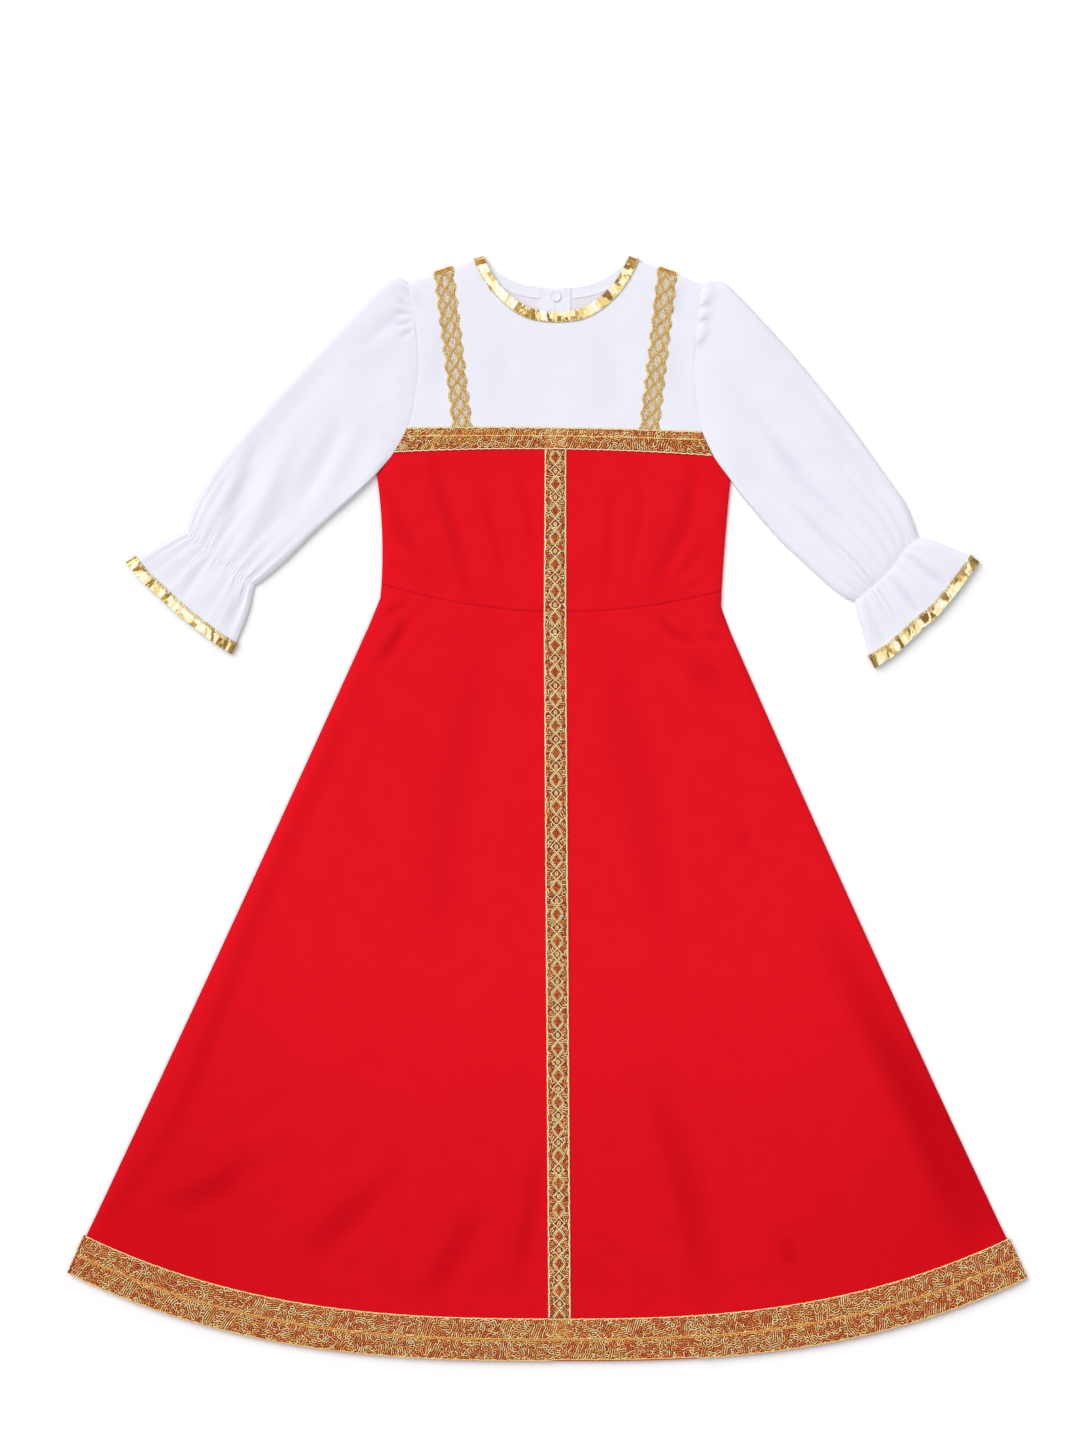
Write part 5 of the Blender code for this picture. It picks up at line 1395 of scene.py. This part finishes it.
def scrollField(length, width, seed, mirrored=False):
    rng = np.random.default_rng(seed)
    p, q = np.arange(0, length, braid["grid"]), np.arange(0, width + braid["grid"] / 2, braid["grid"])
    p, q = np.meshgrid(p, q, indexing="ij")
    if mirrored:
        q = np.abs(q - width / 2)
    total, bars = np.zeros_like(p), np.zeros_like(p)
    for k in range(braid["waves"]):
        angle, phase = rng.uniform(0, 2 * np.pi, 2)
        if k >= braid["scrolls"]:
            angle *= 0.08
        pace = 2 * np.pi / (braid["wave"] * rng.uniform(0.97, 1.03))
        wave = np.sin(pace * (p * np.cos(angle) + q * np.sin(angle)) + phase)
        if k < braid["scrolls"]:
            total += wave / 5
        else:
            bars += wave / 3
    upright = eased(softWaves(p, q * 0.6, 22, seed + 50), 0.1, 0.5) * braid["bars"]
    return total * (1 - upright) + bars * upright


def scrollThreads(length, width, seed, step, mirrored=False, margin=1.4):
    rng = np.random.default_rng(seed + 100)
    threads = []
    for line in zeroLines(scrollField(length, width - 2 * margin, seed, mirrored)):
        places = line * braid["grid"] + [0, margin]
        run = runOf(places)
        if run[-1] < 1.6:
            continue
        at = 0.0
        while at < run[-1] - 1.2:
            piece = min(rng.uniform(*braid["pieces"]), run[-1] - at)
            count = max(int(piece / step) + 1, 3)
            shares = (at + np.linspace(0, piece - 0.35, count)) / run[-1]
            tone = rng.choice(braid["tones"], p=braid["toneShares"]) + rng.uniform(-0.1, 0.1)
            dip = np.clip(np.minimum(np.arange(count), np.arange(count)[::-1]) / 1.5, 0, 1)
            threads.append((atShares(places, shares), braid["radius"] * rng.uniform(0.85, 1.15), tone,
                            0.08 + 0.32 * dip + 0.12 * rng.uniform(-1, 1)))
            at += piece
    return threads


def edgeThreads(length, q, outward, seed, step, tone=0.9, loops=True):
    rng = np.random.default_rng(seed)
    p = np.arange(0.2, length - 0.2, step)
    wave = 0.28 * np.sin(p / 1.1) + 0.25 * np.sin(p / 2.7 + seed) * bool(loops)
    threads = [(np.column_stack([p, q + wave]), braid["edge"], tone, 0.35)]
    if not loops:
        return threads
    for at in np.arange(1.0, length - 1.0, braid["loop"]):
        turn = np.linspace(0, np.pi, 5)
        size = rng.uniform(0.75, 1.1)
        places = np.column_stack([at + 0.8 * np.cos(turn), q + outward * (0.2 + size * np.sin(turn))])
        threads.append((places, braid["loopThread"], rng.uniform(0.45, 1.0), 0.15))
    return threads


def moved(threads, p, q):
    return [(places + [p, q], *rest) for places, *rest in threads]


def braidPiece(name, nodeName, strip, threads, dense, closed=False, sides=4):
    mesh = stripMesh(f"{name}Ground", strip, braid["wall"], 2, closed, {"dense": dense})
    ground = addPiece(mesh.name, mesh, nodeName, braidGround)
    for part, some in threads.items():
        mesh = threadMesh(f"{name}{part}", strip, some, sides if part != "Back" else 3)
        addPiece(mesh.name, mesh, nodeName, goldThread)


hem = {"stations": 560, "backStations": 220, "across": 17, "seed": 61, "margin": 1.1, "longest": 200}


def makeHemBraid():
    across = np.linspace(0, 1, hem["across"])
    shares = denseEnds(hem["stations"], 8, 0.012)
    foot = linePoint("hem", shares)
    foot[:, 1] += 1.2 * eased(foot[:, 0], 0, 8) * (1 - eased(foot[:, 0], 134, 146))
    plan = np.stack([linePoint("braidTop", shares) * (1 - t) + foot * t for t in across], 1)
    front = withHeight(plan, skirtTop(plan[..., 0], plan[..., 1]) + body["gap"] + body["trim"])
    shares = np.linspace(0, 1, hem["backStations"])
    back = np.stack([linePoint("braidTop", shares) * (1 - t) + linePoint("hem", shares) * t
                     for t in across], 1)
    back = withHeight(back, body["under"])
    turns = []
    for k, side in ((-1, 1), (0, -1)):
        step = back[k, -1, :2] - back[k, 0, :2]
        outward = side * np.array([-step[1], step[0]]) / np.linalg.norm(step)
        turns.append(wrapPoints(back[k, :, :2], outward, body["under"], front[k, :, 2]))
    points = np.vstack([front, turns[0][::-1], back[::-1], turns[1]])
    strip = makeStrip(points, len(front) // 2)
    frontEnd = strip["run"][len(front) + len(turns[0]) // 2]
    backEnd = strip["run"][-1]
    width = strip["across"][-1]
    frontThreads, backThreads = [], []
    for half, first in ((0, 0.0), (1, width / 2)):
        seed, margin = hem["seed"] + half, hem["margin"]
        some = scrollThreads(frontEnd, width / 2, seed, braid["step"], margin=margin)
        frontThreads += moved(some, 0, first)
        some = scrollThreads(backEnd - frontEnd, width / 2, seed + 5, braid["backStep"], margin=margin)
        backThreads += moved(some, frontEnd, first)
    for q, tone, loops in ((0.5, 0.75, -1), (width - 0.5, 0.55, 1), (width / 2 - 0.7, 0.5, 0),
                           (width / 2 + 0.7, 0.42, 0)):
        for some, first, last, step in ((frontThreads, 0, frontEnd, 1.6),
                                        (backThreads, frontEnd, backEnd, 3.0)):
            made = edgeThreads(last - first, q, loops, 71, step, tone,
                               loops=bool(loops) and some is frontThreads)
            some += moved(made, first, 0)
    dense = np.zeros(strip["points"].shape[:2])
    dense += 0.5 * bell(strip["across"] - width / 2, 1.8)[None, :]
    dense += (np.abs(strip["points"][..., 0] - 11.2) < 11) * (strip["across"] < width * 0.55)[None, :]
    thirds = {"FrontLeft": [], "FrontRight": [], "Back": backThreads}
    for thread in frontThreads:
        if len(thread[0]) > hem["longest"]:
            half = len(thread[0]) // 2
            thirds["FrontLeft"].append((thread[0][:half + 1], *thread[1:]))
            thirds["FrontRight"].append((thread[0][half:], *thread[1:]))
            continue
        thirds["FrontLeft" if thread[0][0, 0] < frontEnd / 2 else "FrontRight"].append(thread)
    braidPiece("hemBraid", "hem_braid", strip, thirds, dense, closed=True)


def diamond(p):  # half the diamond's width, p along it
    return centre["wide"] * (1 - np.abs(p / centre["half"] - 1))


def outsideMotifs(threads, middle):  # the threads are cut where a motif takes their place
    kept = []
    for places, radius, tone, rise in threads:
        p, q = places[:, 0] % centre["motif"], np.abs(places[:, 1] - middle)
        end = 2 * centre["half"]
        clear = q > diamond(p) + 2.5
        clear &= np.abs(q - centre["slope"] * np.abs(p - end)) + (p < end) * 9 > 0.9
        clear &= np.hypot(p - centre["oval"], q) > 2.6
        ends = np.flatnonzero(np.diff(np.concatenate([[0], clear.astype(int), [0]])))
        for first, last in zip(ends[::2], ends[1::2]):
            if last - first > 2:
                kept.append((places[first:last], radius, tone, rise[first:last]))
    return kept


def motifThreads(length, middle, seed):  # a diamond round a red drop, crossing bars, and a small oval
    rng = np.random.default_rng(seed)
    threads = []
    for start in np.arange(0, length - 8, centre["motif"]):
        ring = np.linspace(0, 2 * np.pi, 13)
        shapes = [(start + at + a * np.cos(ring), b * np.sin(ring), radius, tone)
                  for at, a, b, radius, tone in
                  ((centre["half"], 2.4, 2.2, 0.5, 0.12), (centre["half"], 0.9, 0.8, 0.6, 0.05),
                   (centre["oval"], 2.0, 1.3, 0.4, 0.9), (centre["oval"], 0.5, 0.4, 0.5, 0.55))]
        for sign in (-1, 1):
            p = np.linspace(0, 14, 15)
            shapes.append((start + p, sign * diamond(p), 0.52, 0.97))
            shapes.append((start + p[2:-2], sign * (diamond(p[2:-2]) - 1.5), 0.4, 0.25))
            shapes.append((start + p[:7], sign * (1.7 + 5.2 * p[:7] / 7), 0.45, 0.75))
            shapes.append((start + p[8:], sign * (1.7 + 5.2 * (14 - p[8:]) / 7), 0.45, 0.75))
            p = np.linspace(14, 20, 7)
            shapes.append((start + p, sign * centre["slope"] * (p - 14), 0.48, 0.9))
            p = np.linspace(19, 25, 7)
            shapes.append((start + p, sign * centre["slope"] * (25 - p), 0.48, 0.9))
        for p, q, radius, tone in shapes:
            inside = (p > 0.3) & (p < length - 0.3)
            if inside.sum() > 2:
                wander = 0.16 * np.sin(p * rng.uniform(0.8, 1.3) + rng.uniform(0, 6))
                places = np.column_stack([p, middle + q + wander])[inside]
                threads.append((places, radius, tone + rng.uniform(-0.08, 0.05), 0.55))
    return threads


centre = {"columns": ((-2.5, 17.0), (-3.4, 17.0), (-3.4, 17.0), (0.8, 21.2)), "stations": 420, "across": 11,
          "seed": 81, "motif": 25.0, "half": 7, "wide": 5.2, "slope": 0.95, "oval": 19.5}


def makeCentreBraid():
    lines = ("chestBottom", "waist", "flare", "braidTop")
    corners = np.array([[(x, float(lineY(name, x))) for x in pair]
                        for name, pair in zip(lines, centre["columns"])])
    left, right = (atShares(corners[:, k], np.linspace(0, 1, centre["stations"])) for k in range(2))
    left[0, 1] -= 0.3
    right[0, 1] -= 0.3
    across = np.linspace(0, 1, centre["across"])[None, :, None]
    plan = left[:, None] * (1 - across) + right[:, None] * across
    x, y = plan[..., 0], plan[..., 1]
    seam = lineY("waist", x)
    height = np.where(y > seam, bodiceTop(x, y), skirtTop(x, y)) + 0.55 * bell(y - seam, 3.0)
    strip = makeStrip(withHeight(plan, height + body["gap"] + body["trim"]), centre["stations"] // 2)
    length, width = strip["run"][-1], strip["across"][-1]
    threads = outsideMotifs(scrollThreads(length, width, centre["seed"], braid["step"], mirrored=True),
                            width / 2)
    threads += motifThreads(length, width / 2, centre["seed"] + 1)
    threads += edgeThreads(length, 0.7, -1, 82, 1.3, 1.0) + edgeThreads(length, width - 0.7, 1, 83, 1.3, 1.0)
    atEdges = bell(np.abs(strip["across"] - width / 2) - width / 2, 1.8)
    dense = 0.8 * atEdges[None, :] + np.zeros(plan.shape[:2])
    braidPiece("centreBraid", "centre_braid", strip, {"Threads": threads}, dense)


chest = {"stations": 240, "across": 11, "seed": 91, "above": 0.3, "line": 0.36}


def chestPlan(stations):
    shares = np.linspace(0, 1, stations)
    across = np.linspace(0, 1, chest["across"])
    rows = []
    for t in across:
        first, last, at = "chestTop", "chestSeam", t / chest["above"]
        if t >= chest["above"]:
            first, last, at = "chestSeam", "chestBottom", (t - chest["above"]) / (1 - chest["above"])
        rows.append(linePoint(first, shares) * (1 - at) + linePoint(last, shares) * at)
    return np.stack(rows, 1)


def makeChestBraid():
    plan = chestPlan(chest["stations"])
    height = body["chestTop"] + body["gap"] + body["trim"] + swell("chestBraid", plan[..., 0], plan[..., 1])
    strip = makeStrip(withHeight(plan, height), chest["stations"] // 2)
    length, width = strip["run"][-1], strip["across"][-1]
    threads = scrollThreads(length, width, chest["seed"], braid["step"])
    threads += edgeThreads(length, 0.6, -1, 93, 1.6, 0.7)
    threads += edgeThreads(length, width - 0.55, 1, 94, 1.6, 1.0, loops=False)
    threads += edgeThreads(length, width * chest["line"], 0, 95, 1.6, 0.6, loops=False)
    dense = 0.45 * (strip["across"] < width * chest["line"])[None, :] + np.zeros(plan.shape[:2])
    dense += np.abs(plan[..., 0] - 7.3) < 10
    braidPiece("chestBraid", "chest_braid_front", strip, {"Threads": threads}, dense)
    plan = chestPlan(120)[:, ::2]
    strip = makeStrip(withHeight(plan[::-1], body["under"]), 0)
    strip["normals"] = np.zeros_like(strip["normals"]) + [0, 0, -1]
    length, width = strip["run"][-1], strip["across"][-1]
    threads = scrollThreads(length, width, chest["seed"] + 1, braid["backStep"])
    threads += edgeThreads(length, 0.6, -1, 96, 3.0, 0.8, loops=False)
    threads += edgeThreads(length, width - 0.6, 1, 97, 3.0, 0.9, loops=False)
    braidPiece("chestBackBraid", "chest_braid_back", strip, {"Back": threads}, np.zeros(plan.shape[:2]))


makeHemBraid()
makeCentreBraid()
makeChestBraid()
print("the braids are sewn on")


# Straps: gold lace, two cords that cross again and again between scalloped edges

lace = {"top": {"left": (-106.1, -87.5), "right": (102.1, 120.2)},
        "foot": {"left": (-89.0, -69.9), "right": (84.9, 103.5)},
        "pitch": 14.4, "swing": 4.5, "edge": 6.1, "scallop": 2.3, "loop": 1.8, "net": 1.6,
        "seed": {"left": 101, "right": 103}, "lift": 0.2, "backLift": 0.3, "cord": 0.42, "rim": 0.36,
        "loopThread": 0.45, "turned": 0.7, "stations": 150}


def laceEdge(p):  # how far the scalloped edge stands from the strap's middle
    return lace["edge"] + lace["scallop"] * np.cos(np.pi * p / lace["pitch"]) ** 2


def makeStrap(side):
    (topA, topB), (footA, footB) = lace["top"][side], lace["foot"][side]
    share, across = np.linspace(0, 1, lace["stations"]), np.linspace(0, 1, 11)
    top = topA + (topB - topA) * across
    foot = footA + (footB - footA) * across
    start = np.column_stack([foot, lineY("chestTop", foot) + 0.3])
    end = np.column_stack([top, shoulderY(top)])
    plan = start + (end - start) * share[:, None, None]
    front = withHeight(plan, yokeTop(plan[..., 0], plan[..., 1]) + body["gap"] + lace["lift"])
    turn = wrapPoints(plan[-1], shoulderOutward(side), lace["backLift"], front[-1, :, 2])
    points = np.vstack([front, turn[::-1], withHeight(plan[::-2], lace["backLift"])])
    strip = makeStrip(points, 60)
    length, width = strip["run"][-1], strip["across"][-1]
    middle, shoulder = width / 2, strip["run"][lace["stations"]]
    # the net is one layer, cut to the scallops
    p = np.arange(0, length, 0.9)
    rows = [onStrip(strip, p, middle + t * (laceEdge(p) - 0.3))[0] for t in np.linspace(-1, 1, 9)]
    grid = np.stack(rows, 1)
    faces = gridQuads(np.arange(grid[..., 0].size).reshape(grid.shape[:2]))
    mesh = makeMesh(f"strapNet{side.title()}", grid.reshape(-1, 3), faces, closed=False)
    net = addPiece(mesh.name, mesh, f"strap_{side}", laceNet)
    rng = np.random.default_rng(lace["seed"][side])
    p = np.arange(0.3, length - 0.3, 0.85)
    phase = np.pi * p / lace["pitch"]
    threads = []
    for sign in (-1, 1):
        for offset in (-0.38, 0.38):  # the crossing cords are double
            q = middle + sign * lace["swing"] * np.sin(phase) + offset
            rise = 0.42 + 0.28 * sign * np.cos(phase)
            threads.append((np.column_stack([p, q]), lace["cord"], 0.45 + 0.4 * offset, rise))
        for offset, tone in ((0.0, 0.8), (-1.0, 0.5)):
            q = middle + sign * (laceEdge(p) + offset)
            threads.append((np.column_stack([p, q]), lace["rim"], tone, 0.3))
        for at in np.arange(1.0, length - 1.0, lace["loop"]):
            arc = np.linspace(0, np.pi, 5)
            size = rng.uniform(1.0, 1.7)
            q = middle + sign * (laceEdge(at) + size * np.sin(arc))
            places = np.column_stack([at + 0.6 * np.cos(arc), q])
            threads.append((places, lace["loopThread"], rng.uniform(0.1, 1.0), 0.25))
        for at in np.arange(0.9, length - 0.9, lace["net"]):  # knots of the net
            for out in np.arange(0.95, 7.5, lace["net"]):
                if out < laceEdge(at) - 1.7:
                    tie = np.linspace(-0.5, 0.5, 3)
                    stray = rng.uniform(-0.3, 0.3, 2)
                    places = np.column_stack([at + tie + stray[0],
                                              np.full(3, middle + sign * out + stray[1])])
                    threads.append((places, lace["cord"], rng.uniform(0.2, 1.0), 0.2))
    q = np.linspace(-8.2, 8.2, 14)
    # the lace is turned in thickly over the shoulder
    for back, tone in ((0.4, 0.15), (1.5, 0.3), (-0.9, 0.05)):
        places = np.column_stack([np.full_like(q, shoulder - back), middle + q])
        threads.append((places, lace["turned"], tone, 0.35))
    mesh = threadMesh(f"strapLace{side.title()}", strip, threads, 3)
    cords = addPiece(mesh.name, mesh, f"strap_{side}", laceThread)


for side in ("left", "right"):
    makeStrap(side)
print("the straps are laid over the shoulders")


# Floor, light and camera

studio = {"floor": 4.0, "floorColours": ((0.93, 0.93, 0.93, 1), (0.95, 0.95, 0.95, 1)), "sun": 2.05,
          "sunAngle": 46, "sunElevation": 48, "sunTurn": 46, "high": 1.0, "around": 0.72, "low": 0.32,
          "lens": 150, "distance": 5.615, "look": (-4.4, 79.5)}


def makeFloor():
    mesh = bpy.data.meshes.new("floor")
    half = studio["floor"]
    mesh.from_pydata([(-half, -half, 0), (half, -half, 0), (half, half, 0), (-half, half, 0)], [],
                     [(0, 1, 2, 3)])
    floor = bpy.data.objects.new("floor", mesh)
    bpy.context.collection.objects.link(floor)
    material, nodes, links, shader = newMaterial("paleFloor")
    grain = onObject(nodes, links, "ShaderNodeTexNoise", Scale=30.0, Detail=3.0).outputs["Fac"]
    links.new(mixColours(nodes, links, grain, *studio["floorColours"]), shader.inputs["Base Color"])
    setInputs(shader, Roughness=0.9, Specular_IOR_Level=0.1)
    mesh.materials.append(material)


def makeLight():
    sun = bpy.data.objects.new("window", bpy.data.lights.new("window", "SUN"))
    sun.data.energy, sun.data.angle = studio["sun"], math.radians(studio["sunAngle"])
    sun.rotation_euler = (math.radians(studio["sunElevation"] - 90), 0, math.radians(studio["sunTurn"]))
    bpy.context.collection.objects.link(sun)
    world = bpy.data.worlds.new("studio")
    bpy.context.scene.world = world
    world.use_nodes = True
    nodes, links = world.node_tree.nodes, world.node_tree.links
    place = node(nodes, "ShaderNodeTexCoord")
    split = node(nodes, "ShaderNodeSeparateXYZ")
    links.new(place.outputs["Generated"], split.inputs[0])
    shade = ramp(nodes, links, split.outputs["Z"], (
        (0.0, (studio["low"],) * 3), (0.45, (studio["low"],) * 3), (0.78, (studio["around"],) * 3),
        (0.93, (studio["around"],) * 3), (0.985, (studio["high"],) * 3)))
    links.new(shade, nodes["Background"].inputs["Color"])


def makeCamera():
    camera = bpy.data.objects.new("camera", bpy.data.cameras.new("camera"))
    camera.data.lens, camera.data.sensor_width = studio["lens"], 36
    camera.data.clip_end = 50
    camera.location = (studio["look"][0] * mm + shift[0], studio["look"][1] * mm + shift[1],
                       studio["distance"])
    bpy.context.collection.objects.link(camera)
    bpy.context.scene.camera = camera


makeFloor()
makeLight()
makeCamera()
bpy.context.scene.view_settings.view_transform = "Standard"
print("the floor, light and camera are set")
